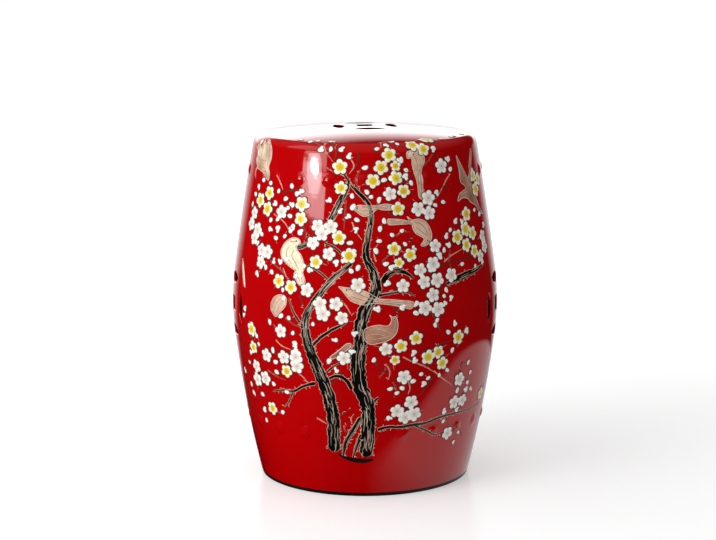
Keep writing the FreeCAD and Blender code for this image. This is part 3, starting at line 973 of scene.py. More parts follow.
def wall_spot(column, row):
    """The azimuth and the length along the profile that a pixel of the photograph shows.

    A pixel just outside the stool gives the place nearest to it, and places on the seat are drawn
    together at its edge.
    """
    forward = Vector((0, math.cos(CAMERA_PITCH), -math.sin(CAMERA_PITCH)))
    up = Vector((0, math.sin(CAMERA_PITCH), math.cos(CAMERA_PITCH)))
    aim = forward * FOCAL_PIXELS + Vector((1, 0, 0)) * (column - AXIS_COLUMN) + up * (MIDDLE_ROW - row)
    aim.normalize()

    def gap(distance):
        """How far outside the stool the ray is at a distance from the camera."""
        spot = CAMERA_PLACE + aim * distance
        if spot.z >= STOOL_HEIGHT:
            return math.hypot(spot.x, spot.y)
        reach = OUTER.at(OUTER.at_height(max(spot.z, FOOT_HEIGHT)))[0]
        return math.hypot(spot.x, spot.y) - reach

    best = (1.0, 0.0)
    near = RAY_START
    for _ in range(RAY_STEPS):
        far = near + RAY_STEP
        found = gap(far)
        best = min(best, (found, far))
        if found < 0:
            for _ in range(RAY_HALVINGS):
                middle = (near + far) / 2
                if gap(middle) < 0:
                    far = middle
                else:
                    near = middle
            best = (0.0, far)
            break
        near = far
    spot = CAMERA_PLACE + aim * best[1]
    length = OUTER.at_height(spot.z)
    if length > PICTURE_TOP:
        length = PICTURE_TOP + PICTURE_SQUEEZE * (length - PICTURE_TOP)
    return math.atan2(spot.x, -spot.y), length


def on_front(spot):
    """A place in the picture on the front."""
    return spot


def round_back(spot):
    """The same place in the picture on the back, which is the front one mirrored."""
    return math.pi - spot[0], spot[1]


def spots(pixels, place):
    """Wall places of a run of pixels, on the front or round the back."""
    return [place(wall_spot(column, row)) for column, row in pixels]


# Raised paint

# In the glaze: the edges of strokes, and the underside of patches
SUNK = -0.04 * MM
UNDERSIDE = -0.12 * MM
# A thin line: its thickness, and its width at the ends as a share of the full one
LINE_THICK = 0.12 * MM
LINE_TAPER = 0.35
# A stroke's edge line: at most this share of the half width, and this share of the rise. It is level between
# two shares of its own width
EDGE_SHARE = 0.32
EDGE_RISE = 1 / 3
EDGE_OUTSIDE = 0.3
EDGE_INSIDE = 0.85
# A stroke's crest as a share of its half width, and what keeps its blunt ends from closing
FILL_CREST = 0.35
BLUNT_LEAST = 0.02
LEAST_WIDTH = 1e-6
# A patch: the grid of points inside, how far they stay off its outline, and how wide its slope is
PATCH_GRID = 2.0 * MM
PATCH_RIM = 0.9 * MM
PATCH_SLOPE = 5 * MM


class Paint:
    """One piece of raised enamel, gathered stroke by stroke, with a colour at each point."""

    def __init__(self):
        self.points = []
        self.colours = []
        self.faces = []

    def point(self, spot, lift, colour):
        """Add a point at a wall place, lifted off the wall and the studs; gives its number."""
        self.points.append(on_wall(*spot, lift + stud_rise(*spot)))
        self.colours += colour
        return len(self.points) - 1

    def across(self, samples, number, stations):
        """A ring of points round a stroke at one of its samples."""
        spot = samples[number][:2]
        side_x, side_y = sideways(samples, number)
        return [self.point(beside(spot, side_x * out, side_y * out), lift, colour)
                for out, lift, colour in stations]

    def strip(self, rows):
        """Quads between neighbouring rows of points."""
        for before, after in zip(rows, rows[1:]):
            for place in range(len(before) - 1):
                self.faces.append((before[place], before[place + 1], after[place + 1], after[place]))

    def tube(self, rings):
        """A closed skin round a run of rings of points, with a cap at each end."""
        self.strip([ring + ring[:1] for ring in rings])
        self.faces.append(tuple(reversed(rings[0])))
        self.faces.append(tuple(rings[-1]))

    def dab(self, rings, top, bottom):
        """A closed dab: rings of points from its middle outwards, a point on top and one underneath."""
        closed = [ring + ring[:1] for ring in reversed(rings)]
        self.strip(closed)
        for here, there in zip(closed[-1], closed[-1][1:]):
            self.faces.append((here, there, top))
        for here, there in zip(closed[0], closed[0][1:]):
            self.faces.append((there, here, bottom))

    def piece(self, name, material, slot):
        """The gathered paint as a piece of the model."""
        mesh = bpy.data.meshes.new(name)
        mesh.from_pydata(self.points, [], self.faces)
        layer = mesh.color_attributes.new("Paint", "FLOAT_COLOR", "POINT")
        layer.data.foreach_set("color", self.colours)
        mesh.materials.append(material)
        mesh.polygons.foreach_set("use_smooth", [True] * len(self.faces))
        mesh.update()
        thing = put_in_scene(name, mesh)
        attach(thing, "root")


def curve(a, b, c, d, t):
    """The value a share t of the way from b to c, on a smooth curve through four values."""
    square = 2 * a - 5 * b + 4 * c - d
    cube = 3 * b - a - 3 * c + d
    return 0.5 * (2 * b + (c - a) * t + square * t * t + cube * t ** 3)


def wall_distance(here, there):
    """The distances round and along the wall between two samples."""
    return (there[0] - here[0]) * OUTER.at(here[1])[0], there[1] - here[1]


def smooth_path(path, widths, step):
    """Evenly spaced (azimuth, length, half width) on a smooth curve through the given places."""
    keys = [spot + (width,) for spot, width in zip(path, widths)]
    keys = [keys[0]] + keys + [keys[-1]]
    found = []
    for number in range(1, len(keys) - 2):
        before, here, after, beyond = keys[number - 1:number + 3]
        count = max(2, round(math.hypot(*wall_distance(here, after)) / step))
        for part in range(count):
            found.append(tuple(curve(*values, part / count) for values in zip(before, here, after, beyond)))
    found.append(keys[-1])
    return found


def run_length(samples):
    """The length from the first sample to each one, over the wall."""
    lengths = [0.0]
    for before, after in zip(samples, samples[1:]):
        lengths.append(lengths[-1] + math.hypot(*wall_distance(before, after)))
    return lengths


def sideways(samples, number):
    """The unit step across a stroke at one of its samples, to its left."""
    before = samples[max(0, number - 1)]
    after = samples[min(len(samples) - 1, number + 1)]
    x = (after[0] - before[0]) * OUTER.at(samples[number][1])[0]
    y = after[1] - before[1]
    size = math.hypot(x, y) or 1.0
    return -y / size, x / size


def stroke(paint, samples, edge, fill, edge_width, lift, rise, jag=0.0, blunt=True):
    """A raised stroke with an edge line of its own colour. The samples come from smooth_path."""
    lengths = run_length(samples)
    rings = []
    for number, (_, _, width) in enumerate(samples):
        if blunt:
            left = min(lengths[number], lengths[-1] - lengths[number])
            width *= math.sqrt(max(BLUNT_LEAST, 1 - (1 - min(1.0, left / max(width, LEAST_WIDTH))) ** 2))
        line = min(edge_width, width * EDGE_SHARE)
        crest = lift + rise * EDGE_RISE
        half = ((width, SUNK, edge), (width - EDGE_OUTSIDE * line, crest, edge),
                (width - EDGE_INSIDE * line, crest, edge), (width - line, lift, fill),
                (width * FILL_CREST, lift + rise, fill))
        left_jag = 1 + jag * (rng.random() - 0.5)
        right_jag = 1 + jag * (rng.random() - 0.5)
        stations = [(out * left_jag, up, colour) for out, up, colour in half]
        stations += [(-out * right_jag, up, colour) for out, up, colour in reversed(half)]
        rings.append(paint.across(samples, number, stations))
    paint.tube(rings)


def thin_line(paint, samples, colour, lift, taper=True):
    """A thin rounded line of one colour."""
    rings = []
    for number, (_, _, width) in enumerate(samples):
        if taper:
            swell = math.sqrt(math.sin(math.pi * (number + 0.5) / len(samples)))
            width *= LINE_TAPER + (1 - LINE_TAPER) * swell
        stations = ((width, lift - LINE_THICK, colour), (width / 2, lift, colour),
                    (-width / 2, lift, colour), (-width, lift - LINE_THICK, colour))
        rings.append(paint.across(samples, number, stations))
    paint.tube(rings)


def filled(paint, outline, colour_at, lift, rise):
    """A raised patch inside a closed outline, domed towards its middle."""
    radius = OUTER.at(sum(length for _, length, _ in outline) / len(outline))[0]
    flat = [(azimuth * radius, length) for azimuth, length, _ in outline]
    edges = closed_edges(flat)
    low_x, high_x = min(x for x, _ in flat), max(x for x, _ in flat)
    low_y, high_y = min(y for _, y in flat), max(y for _, y in flat)
    depths = [0.0] * len(flat)
    for x in spread(low_x, high_x, PATCH_GRID):
        for y in spread(low_y, high_y, PATCH_GRID):
            near = min(math.hypot(x - px, y - py) for px, py in flat)
            if near > PATCH_RIM and is_inside(edges, x, y):
                flat.append((x, y))
                depths.append(near)
    above = []
    below = []
    for (x, y), depth in zip(flat, depths):
        up = lift + rise * min(1.0, depth / PATCH_SLOPE) if depth else SUNK
        above.append(paint.point((x / radius, y), up, colour_at(x, y, depth)))
        below.append(paint.point((x / radius, y), UNDERSIDE, colour_at(x, y, depth)))
    ring = closed_edges(list(range(len(outline))))
    for triangle in triangles_inside(flat, ring, edges):
        paint.faces.append(tuple(above[place] for place in triangle))
        paint.faces.append(tuple(below[place] for place in reversed(triangle)))
    turns_left = sum(a[0] * b[1] - b[0] * a[1] for a, b in edges) > 0
    for here, there in ring:
        if not turns_left:
            here, there = there, here
        paint.faces.append((above[there], above[here], below[here], below[there]))


CREAM = rgb(255, 250, 232)
WHITE = rgb(255, 253, 248)
PINKISH = rgb(240, 222, 212)
GREENISH = rgb(188, 184, 160)
GREY = rgb(204, 190, 178)
YELLOW = rgb(236, 208, 8)
LEMON = rgb(242, 226, 50)
YELLOW_DARK = rgb(188, 160, 16)
GOLD = rgb(226, 150, 26)
OUTLINE = rgb(54, 10, 12)
BARK = rgb(11, 8, 8)
BARK_PALE = rgb(228, 216, 196)
BARK_GREEN = rgb(150, 160, 136)
BARK_PINK = rgb(206, 164, 146)
EDGE = rgb(236, 200, 174)
TWIG = rgb(104, 40, 32)
TWIG_PALE = rgb(222, 150, 132)
OLIVE = rgb(62, 44, 26)
BIRD = rgb(214, 166, 136)
BIRD_PINK = rgb(242, 212, 184)
BIRD_DARK = rgb(146, 96, 70)
BIRD_BROWN = rgb(178, 118, 92)
BIRD_CREAM = rgb(255, 243, 208)
BIRD_EDGE = rgb(248, 226, 210)
EYE = rgb(30, 18, 16)
GROUND = rgb(40, 10, 10)

# A blossom: each petal is a circle with its middle and its radius as shares of the size, and notches between
# the petals. Three of every seven steps round the disc are stamens
PETAL_STEPS = 50
PETAL_REACH = 0.60
PETAL_ROUND = 0.40
HALF_PETAL = TURN / 10
DISC_REACH = 0.88
NOTCH_DEPTH = 0.26 * MM
NOTCH_MARK = 0.85
STAMEN_STRIDE = 3
STAMEN_CYCLE = 7
STAMEN_STEPS = 3
# Rings of a blossom from its middle outwards: what they show, their share of the radius, how far they follow
# the petals, and their height in millimetres
BLOSSOM_RINGS = [
    ("heart", 0.13, 0.0, 0.62), ("stamens", 0.20, 0.0, 0.50), ("stamens", 0.36, 0.0, 0.45),
    ("disc", 0.56, 0.25, 0.44), ("petal", 0.62, 0.35, 0.50), ("petal", 0.76, 1.0, 0.64),
    ("petal", 0.90, 1.0, 0.60), ("tip", 0.98, 1.0, 0.38), ("outline", 1.01, 1.0, 0.24),
    ("outline", 1.09, 1.0, 0.20), ("outline", 1.13, 1.0, -0.03)]
# Rings of a bud: share of its size and height in millimetres
BUD_RINGS = [(0.55, 0.54), (0.90, 0.34), (0.97, 0.22), (1.10, 0.18), (1.18, -0.03)]
BUD_STEPS = 18
# The outline of a bud starts at a share of its size. It is bent, and wider at one side, like an egg
BUD_EDGE = 0.95
BUD_BEND = 0.25
BUD_EGG = 0.14
# The middle of a blossom or a bud, in millimetres
MIDDLE_HEIGHT = 0.58


def lifted(height, lift):
    """A height in millimetres over the wall, with the lift of its layer unless it lies in the glaze."""
    return height * MM + (lift if height > 0 else 0.0)


def blossom(paint, spot, size, tilt, yellow, lift):
    """A prunus blossom: five round domed petals round a stamened disc, and a dark outline."""
    warm = rng.uniform(0.0, 0.6)
    petal_colour = blend(WHITE, CREAM, 1.0 if yellow else warm)
    disc = blend(YELLOW, LEMON, rng.random()) if yellow else blend(WHITE, PINKISH, 0.35 + 0.5 * rng.random())
    mark = YELLOW_DARK if yellow else GREY
    heart = blend(GOLD, YELLOW, 0.6 * rng.random()) if yellow else GREENISH
    colours = {"heart": heart, "stamens": disc, "disc": disc, "petal": petal_colour, "tip": petal_colour,
               "outline": OUTLINE}
    rings = []
    for kind, share, follow, height in BLOSSOM_RINGS:
        ring = []
        for step in range(PETAL_STEPS):
            turn = TURN * step / PETAL_STEPS
            off = (turn + HALF_PETAL) % (2 * HALF_PETAL) - HALF_PETAL
            side = PETAL_REACH * math.sin(off)
            petal = PETAL_REACH * math.cos(off) + math.sqrt(PETAL_ROUND ** 2 - side ** 2)
            notch = abs(off) / HALF_PETAL
            rise = lifted(height, lift)
            if kind in ("petal", "tip"):
                rise -= NOTCH_DEPTH * notch ** 3
            colour = colours[kind]
            if kind == "petal" and notch > NOTCH_MARK:
                colour = disc if yellow else mark
            if kind == "stamens" and step * STAMEN_STRIDE % STAMEN_CYCLE < STAMEN_STEPS:
                colour = blend(disc, mark, 0.75)
            x, y = turned(size * share * (follow * petal + (1 - follow) * DISC_REACH), 0, turn + tilt)
            ring.append(paint.point(beside(spot, x, y), rise, colour))
        rings.append(ring)
    top = paint.point(spot, lifted(MIDDLE_HEIGHT, lift), heart)
    paint.dab(rings, top, paint.point(spot, SUNK, OUTLINE))


def bud(paint, spot, size, tilt, long, lift):
    """A bud: one raised egg-shaped dab of white with a dark outline."""
    bend = rng.uniform(-BUD_BEND, BUD_BEND)
    rings = []
    for share, height in BUD_RINGS:
        ring = []
        for step in range(BUD_STEPS):
            turn = TURN * step / BUD_STEPS
            reach = size * share
            x = reach * math.cos(turn) * (1 + BUD_EGG * math.sin(turn)) + bend * reach * math.sin(turn) ** 2
            x, y = turned(x, reach * long * math.sin(turn), tilt)
            colour = OUTLINE if share > BUD_EDGE else WHITE
            ring.append(paint.point(beside(spot, x, y), lifted(height, lift), colour))
        rings.append(ring)
    top = paint.point(spot, lifted(MIDDLE_HEIGHT, lift), CREAM)
    paint.dab(rings, top, paint.point(spot, SUNK, OUTLINE))


# The picture: a prunus tree with birds, placed by pixels of the photograph

# Each trunk or thick branch: pixels along its middle, and its half width there in millimetres
TRUNKS = [
    ([(334, 452), (334, 432), (332, 411), (327, 392), (319, 372), (310, 350), (305, 328), (308, 312),
      (319, 295), (334, 278), (352, 263)],
     [8.6, 8.4, 8.6, 8.6, 8.0, 7.2, 6.2, 4.8, 4.4, 3.8, 2.6]),
    ([(366, 457), (368, 432), (368, 408), (360, 386), (358, 366), (360, 345), (361, 324), (367, 306),
      (376, 290), (373, 272), (366, 256), (368, 238), (371, 216), (367, 202), (353, 187), (344, 174)],
     [8.4, 8.8, 9.0, 9.4, 9.6, 8.8, 8.2, 8.0, 6.8, 5.6, 4.6, 4.0, 3.4, 3.0, 2.2, 1.4]),
    ([(327, 228), (333, 216), (340, 202), (346, 190), (349, 180)], [4.0, 4.2, 4.0, 3.4, 1.6]),
    ([(343, 456), (346, 443), (353, 430), (361, 417)], [1.6, 3.2, 3.6, 3.0]),
    ([(353, 458), (357, 445), (362, 434)], [1.2, 2.6, 3.0]),
]
BRANCHES = [
    ([(328, 379), (337, 376), (346, 380), (352, 390)], [2.0, 2.4, 2.8, 2.6]),
    ([(316, 383), (304, 386), (294, 391), (284, 390), (273, 391)], [2.6, 2.2, 2.0, 1.6, 0.8]),
    ([(293, 392), (289, 402), (284, 407)], [1.6, 1.3, 0.7]),
    ([(312, 346), (320, 338), (330, 331), (340, 326), (348, 322)], [2.6, 2.4, 2.2, 1.8, 1.0]),
    ([(377, 430), (388, 427), (400, 427), (412, 425), (425, 423), (440, 417), (455, 413), (468, 409),
      (479, 402)],
     [2.8, 2.2, 2.2, 2.4, 2.2, 2.0, 1.8, 1.5, 1.0]),
    ([(414, 425), (425, 430), (434, 434), (441, 433)], [1.8, 1.6, 1.4, 0.8]),
    ([(371, 410), (374, 402), (379, 397)], [3.0, 2.4, 1.2]),
    ([(382, 283), (388, 275), (396, 271), (406, 273), (414, 279)], [4.0, 4.0, 3.4, 2.6, 1.2]),
    ([(446, 284), (455, 280), (465, 275), (475, 270), (484, 263)], [1.8, 4.0, 4.4, 3.2, 1.2]),
    ([(368, 216), (374, 209), (380, 202)], [2.0, 1.6, 0.8]),
    ([(331, 283), (322, 274), (312, 268), (300, 264), (290, 262)], [1.6, 1.4, 1.2, 1.0, 0.6]),
    ([(297, 248), (305, 245), (313, 241), (322, 236)], [3.4, 3.0, 2.2, 1.2]),
    ([(324, 243), (332, 246), (340, 252), (346, 262)], [1.2, 1.4, 1.4, 0.8]),
    ([(306, 330), (299, 321), (293, 311), (289, 298)], [2.4, 2.0, 1.6, 0.9]),
    ([(376, 296), (392, 293), (404, 292), (416, 296)], [2.4, 1.8, 1.4, 0.8]),
    ([(327, 372), (334, 366), (342, 362)], [1.8, 1.4, 0.8]),
]
# Thin bare twigs: pixels along the middle
TWIGS = [
    [(314, 139), (320, 145), (327, 154), (334, 163)], [(325, 143), (325, 150), (330, 158)],
    [(335, 143), (336, 152), (334, 160)], [(327, 168), (332, 171), (337, 175)],
    [(278, 177), (281, 184), (283, 190)], [(283, 193), (290, 191), (298, 190)],
    [(346, 200), (345, 214), (344, 230)], [(380, 132), (380, 140), (381, 148)],
    [(418, 172), (410, 178), (402, 186)], [(433, 154), (428, 161), (422, 167)],
    [(449, 174), (444, 184), (438, 196)], [(441, 188), (446, 186), (449, 190)],
    [(424, 247), (430, 243), (437, 238)], [(444, 262), (452, 255), (462, 249)],
    [(438, 268), (452, 262), (468, 258), (482, 254)], [(450, 250), (449, 260), (452, 270)],
    [(403, 357), (413, 362), (424, 366), (434, 372)], [(421, 352), (432, 348), (444, 343), (455, 340)],
    [(456, 342), (462, 334), (466, 326)], [(434, 371), (442, 378), (452, 385)],
    [(433, 376), (427, 386), (419, 396)], [(393, 382), (396, 390), (394, 398)],
    [(408, 380), (410, 388), (408, 394)], [(462, 362), (459, 374), (462, 384)],
    [(459, 385), (461, 392), (458, 400)], [(297, 372), (304, 378), (308, 384)],
    [(376, 364), (382, 370), (388, 374)], [(379, 378), (384, 372), (386, 366)],
    [(317, 418), (322, 421), (327, 424)], [(341, 415), (346, 412), (349, 409)],
    [(347, 433), (344, 428), (347, 424)], [(352, 424), (351, 418), (354, 414)],
    [(462, 436), (458, 428), (452, 424)], [(270, 260), (276, 266), (283, 272), (289, 280)],
    [(283, 268), (286, 276), (292, 283)], [(300, 296), (303, 306), (306, 316)],
    [(285, 318), (293, 324), (302, 328)], [(274, 214), (284, 222), (290, 232)],
    [(302, 224), (306, 234), (303, 244)], [(310, 226), (316, 232), (322, 238)],
    [(276, 340), (282, 346), (292, 350)], [(388, 213), (396, 216), (404, 214)],
    [(382, 262), (388, 256), (392, 250)], [(352, 222), (356, 232), (362, 240)],
    [(332, 384), (338, 378), (344, 374)], [(268, 370), (276, 376), (286, 380)],
    [(350, 158), (354, 166), (349, 174)], [(358, 152), (358, 162), (352, 172)],
    [(360, 170), (356, 180), (360, 192)], [(376, 262), (374, 252), (378, 244)],
    [(412, 234), (410, 242), (415, 246)], [(396, 236), (402, 232), (410, 232)],
    [(340, 300), (346, 306), (352, 316)], [(392, 306), (398, 314), (396, 322)],
    [(432, 313), (436, 321), (440, 330)], [(386, 364), (390, 372), (388, 380)],
]
# Blossoms and buds: the pixel at their middle
YELLOW_BLOSSOMS = [
    (340, 167), (341, 188), (389, 155), (381, 167.5), (373, 181), (395.5, 178), (403.5, 191), (398, 209),
    (412, 145), (423, 149), (419, 138), (270, 193), (261, 200), (268, 209), (302, 204), (301, 219),
    (339, 238), (349, 256), (316, 262), (394, 249), (410, 255), (279, 281), (291, 287), (457, 237),
    (465, 229), (472, 233), (466, 245), (474, 251), (466, 214), (472, 175), (477, 179), (475, 189),
    (287, 371), (401, 346), (416, 338), (428, 357), (438, 352), (442, 363), (458, 337), (273, 408),
    (252, 329), (254, 347), (480, 393),
]
SMALL_YELLOW = [(395.5, 166), (399, 263), (395, 360)]
WHITE_BLOSSOMS = [
    (390, 194), (441, 166), (428, 198), (418, 209), (429, 213), (282, 212), (322, 234), (329, 254),
    (313, 243), (403, 286), (420, 270), (433, 264), (424, 282), (437, 280), (433, 295), (425, 308),
    (438, 309), (358, 285), (307, 290), (262, 250), (268, 252), (261, 262), (323, 314), (342, 318),
    (320, 304), (336, 304), (281, 331), (284, 357), (296, 357), (297, 366), (257, 366), (258, 379),
    (266, 378), (267, 355), (344, 358), (386, 349), (404, 377), (397, 411), (411, 402), (414, 414),
    (405, 417), (459, 379), (454, 402), (462, 400), (447, 433), (255, 213), (252, 224), (258, 230),
    (255, 238), (482, 236), (484, 246), (480, 256), (331, 227), (318, 226), (435, 246), (451, 275),
]
BUDS = [
    (292, 186), (286, 198.6), (311, 142), (321, 150), (331, 149), (341, 150), (349, 157), (283, 412),
    (265, 410), (267, 420), (458, 432), (453, 442), (444, 412), (443, 202), (330, 200), (352, 196),
    (279, 191), (276, 203), (288, 208), (293, 205), (290, 216), (297, 194), (271, 220), (278, 219),
    (270, 229), (278, 228), (291, 231), (262, 234), (276, 238), (285, 236), (340, 212), (349, 216),
    (357, 220), (356, 229), (353, 207), (377, 149), (385, 145), (390, 141), (397, 144), (365, 168),
    (401, 160), (406, 170), (405, 176), (411, 183), (384, 180), (367, 192), (371, 197), (379, 200),
    (436, 192), (435, 205), (448, 159), (450, 169), (433, 148), (441, 139), (384, 221), (380, 229),
    (392, 235), (402, 231), (379, 241), (376, 251), (405, 244), (386, 264), (391, 268), (350, 243),
    (354, 251), (343, 261), (351, 271), (358, 268), (336, 262), (304, 266), (309, 270), (446, 237),
    (450, 230), (455, 222), (444, 250), (462, 222), (479, 214), (474, 210), (483, 224), (449, 245),
    (439, 254), (440, 257), (462, 264), (475, 266), (482, 262), (388, 283), (414, 250), (431, 270),
    (446, 290), (451, 297), (445, 303), (417, 303), (416, 313), (437, 320), (435, 325), (444, 296),
    (455, 324), (402, 308), (378, 309), (448, 332), (466, 330), (452, 350), (447, 370), (439, 375),
    (421, 374), (424, 383), (414, 352), (415, 361), (374, 360), (413, 381), (428, 378), (390, 389),
    (397, 393), (402, 388), (388, 418), (443, 421), (468, 362), (470, 372), (467, 382), (457, 390),
    (466, 389), (470, 388), (456, 410), (245, 309), (244, 315), (257, 336), (251, 352), (259, 344),
    (270, 322), (281, 316), (289, 318), (293, 333), (295, 343), (273, 350), (276, 362), (277, 372),
    (274, 384), (254, 392), (252, 384), (246, 371), (250, 362), (296, 350), (313, 324), (318, 312),
    (336, 340), (329, 361), (337, 371), (351, 352), (354, 334), (263, 394), (287, 392), (281, 262),
    (287, 259), (258, 243), (274, 262), (257, 273), (266, 267), (272, 272), (296, 276), (283, 290),
    (284, 298), (300, 276), (302, 191), (308, 206), (300, 233), (293, 226), (259, 186), (256, 194),
    (253, 204), (264, 180), (271, 183), (262, 142), (259, 152), (314, 136), (330, 136), (337, 138),
    (431, 133), (440, 131), (424, 131),
]
# Each bird: the pixels of its outline, its feather lines, its eye and its colours
BIRDS = [
    {"outline": [(407, 152), (413, 150), (419, 150.5), (423, 155), (424.5, 161), (422, 167), (421, 173),
                 (422, 179), (422.6, 186), (423, 193), (421.5, 199), (419, 197), (418, 189), (417, 181.5),
                 (415, 175.5), (413.5, 170.5), (412, 164.5), (411.5, 158.5), (407, 158)],
     "lines": [[(414, 156), (417, 163), (418, 172), (419, 184)], [(420, 158), (420, 168), (420.5, 184)],
               [(415, 168), (418, 171), (421, 169)]],
     "eye": (413, 154.5), "colours": (BIRD, BIRD_PINK)},
    {"outline": [(388, 219), (400, 219.5), (409, 221), (407, 216.5), (412, 220), (418, 219), (424.5, 221),
                 (429, 226.4), (431.5, 233.6), (431, 239.7), (428, 244), (423, 246.3), (421, 245), (423, 242),
                 (424, 238.7), (420.8, 236.3), (416, 233.6), (413, 228.8), (411.5, 224.5), (405, 224),
                 (396.5, 224.6), (388.4, 224.4)],
     "lines": [[(390, 221), (400, 221.6), (412, 223)], [(391, 223.2), (402, 222.8), (413, 225)],
               [(415, 222), (421, 224), (426, 230), (427, 236)], [(416, 227), (421, 231), (426, 235)]],
     "eye": (427, 240.5), "colours": (BIRD, BIRD_PINK)},
    {"outline": [(456, 155.5), (460.8, 164.5), (465.6, 175), (467.6, 178), (468, 173), (469, 161), (470, 149),
                 (471, 151), (470.8, 162), (470.6, 173), (470.6, 181.5), (473, 190), (476.5, 199.7),
                 (479.5, 208), (482.4, 213.6), (478.3, 211), (475.5, 205.4), (470.5, 202), (467.4, 198.4),
                 (462, 198), (457.8, 201.4), (459, 194.8), (462.6, 191), (465.6, 188.5), (463.6, 184.6),
                 (461, 182.7), (459.5, 178), (458.9, 170.6), (457.2, 163)],
     "lines": [[(457.5, 160), (460.5, 169), (463.5, 179)], [(459.5, 166), (463, 174), (466, 182)],
               [(469.6, 162), (469.4, 172), (469, 182)], [(460, 197), (463, 194), (467, 192)],
               [(469, 186), (471, 194), (474, 202)]],
     "eye": (480, 209.5), "colours": (BIRD_DARK, BIRD)},
    {"outline": [(351.5, 208.8), (355, 206.6), (359.5, 205.2), (365, 205.8), (372, 205.8), (378, 205.8),
                 (384, 204.2), (392.5, 205.2), (392.6, 209.4), (384, 210), (377, 209.4), (372, 213.6),
                 (365, 216.4), (359.5, 214.2), (356, 211.2)],
     "lines": [[(362, 207.5), (372, 207.6), (389, 206.6)], [(362, 211), (370, 210), (388, 208.4)]],
     "eye": (357, 208.2), "colours": (BIRD, BIRD_PINK)},
    {"outline": [(294.5, 237.3), (299, 239.1), (300.8, 243.3), (297, 246), (297.7, 250.6), (301.4, 255.5),
                 (303.8, 262.7), (304.4, 268.8), (302.8, 272.4), (305, 279.7), (304.4, 284.5), (300.2, 285.6),
                 (296.5, 281), (294.1, 273.6), (295.5, 270.6), (291.1, 267.6), (285.8, 262.7), (282, 257.9),
                 (281, 251.8), (282.6, 247), (285.6, 242.1), (290.5, 238.5)],
     "lines": [[(291, 245), (287, 250), (287, 257), (292, 264)],
               [(294, 250), (292, 256), (296, 264), (299, 270)], [(297, 274), (299, 279), (300.5, 283)],
               [(301, 274), (302, 279), (302.5, 283)], [(290, 241), (295, 242), (298, 241)]],
     "eye": (296.5, 241), "colours": (BIRD_CREAM, BIRD_CREAM)},
    {"outline": [(338.5, 286.6), (344, 287.4), (350, 288.3), (357, 289.4), (365, 291.4), (373, 295.4),
                 (380, 299), (392, 299.6), (403, 300.6), (410, 301.2), (414.6, 303.4), (411, 308.6),
                 (405, 307.8), (396, 305.8), (387.8, 304.4), (378.4, 303.6), (372, 303.4), (365, 305),
                 (358, 303.8), (351, 300.8), (346, 295.4), (342, 290.4)],
     "lines": [[(352, 291.5), (361, 295), (371, 299), (380, 301)], [(351, 296), (360, 299.4), (370, 301.6)],
               [(384, 301.2), (396, 302.2), (409, 303.4)], [(386, 303), (396, 304), (407, 306)]],
     "eye": (346.5, 290), "colours": (BIRD, BIRD_PINK)},
    {"outline": [(389.6, 315), (392.6, 317.3), (395.8, 316.8), (397.7, 322.2), (397.3, 330.2), (394, 336.2),
                 (388, 340.4), (379.7, 343), (371.7, 344.4), (366.3, 341.8), (363.6, 336.5), (365, 329.4),
                 (371.7, 326.4), (379.7, 325.2), (385, 326.2), (389, 325.4), (391, 322.2), (391.6, 319)],
     "lines": [[(368, 331), (375, 329.5), (383, 331), (389, 334)], [(367, 336), (375, 334.6), (384, 336.4)],
               [(393.6, 320), (394.6, 326), (392, 332)], [(372, 340), (380, 339), (388, 337)]],
     "eye": (394.2, 319.4), "colours": (BIRD_BROWN, BIRD)},
    {"outline": [(270.6, 141), (272, 148), (271.6, 158.5), (269, 167), (269.8, 173), (268.4, 180.3),
                 (265, 175.5), (262.6, 171.8), (258.5, 167.4), (256.6, 160), (258.6, 152), (257.4, 147),
                 (260.6, 144), (262.2, 148), (263.6, 142.4), (265.8, 139.4), (266.8, 144), (268.6, 139.6)],
     "lines": [[(268.6, 143), (267.4, 152), (265.4, 164)], [(270.4, 144), (269.8, 154), (267.4, 166)],
               [(265, 142.6), (263.4, 149), (261.8, 156)], [(260.6, 146.4), (259.8, 152), (259.4, 160)],
               [(259, 162), (262, 166.4), (266, 168.4)], [(258.6, 156), (262.6, 160), (268, 161)],
               [(266, 171), (267.4, 175), (268, 179)]],
     "eye": (265.6, 171), "colours": (BIRD_BROWN, BIRD_CREAM)},
    {"outline": [(271.2, 303.4), (274.6, 296.9), (281, 294.7), (286.4, 298), (285.4, 306.1), (280.2, 312),
                 (276.2, 316.4), (273.2, 313.4), (271.2, 308.8)],
     "lines": [[(274, 312), (276, 305), (281, 298)], [(277, 312), (280, 305), (284, 300)],
               [(273, 308), (274, 302), (278, 297)]],
     "eye": None, "colours": (BIRD, BIRD_PINK)},
    {"outline": [(243.2, 258), (244.2, 268), (245, 278), (245.4, 287), (244, 284), (243, 274), (242.6, 264)],
     "lines": [],
     "eye": None, "colours": (BIRD_CREAM, BIRD_CREAM)},
    {"outline": [(330, 357), (338.8, 350.3), (346.7, 343.8), (351, 344), (349.6, 347.8), (341, 354),
                 (332.4, 359)],
     "lines": [[(334, 356), (341, 350.6), (348, 345.6)]],
     "eye": None, "colours": (BIRD_DARK, BIRD)},
]
# Ground line at the foot of the tree, given like the trunks
GROUND_LINE = ([(338, 454), (350, 459), (364, 461), (374, 459)], [1.6, 3.0, 3.2, 1.4])

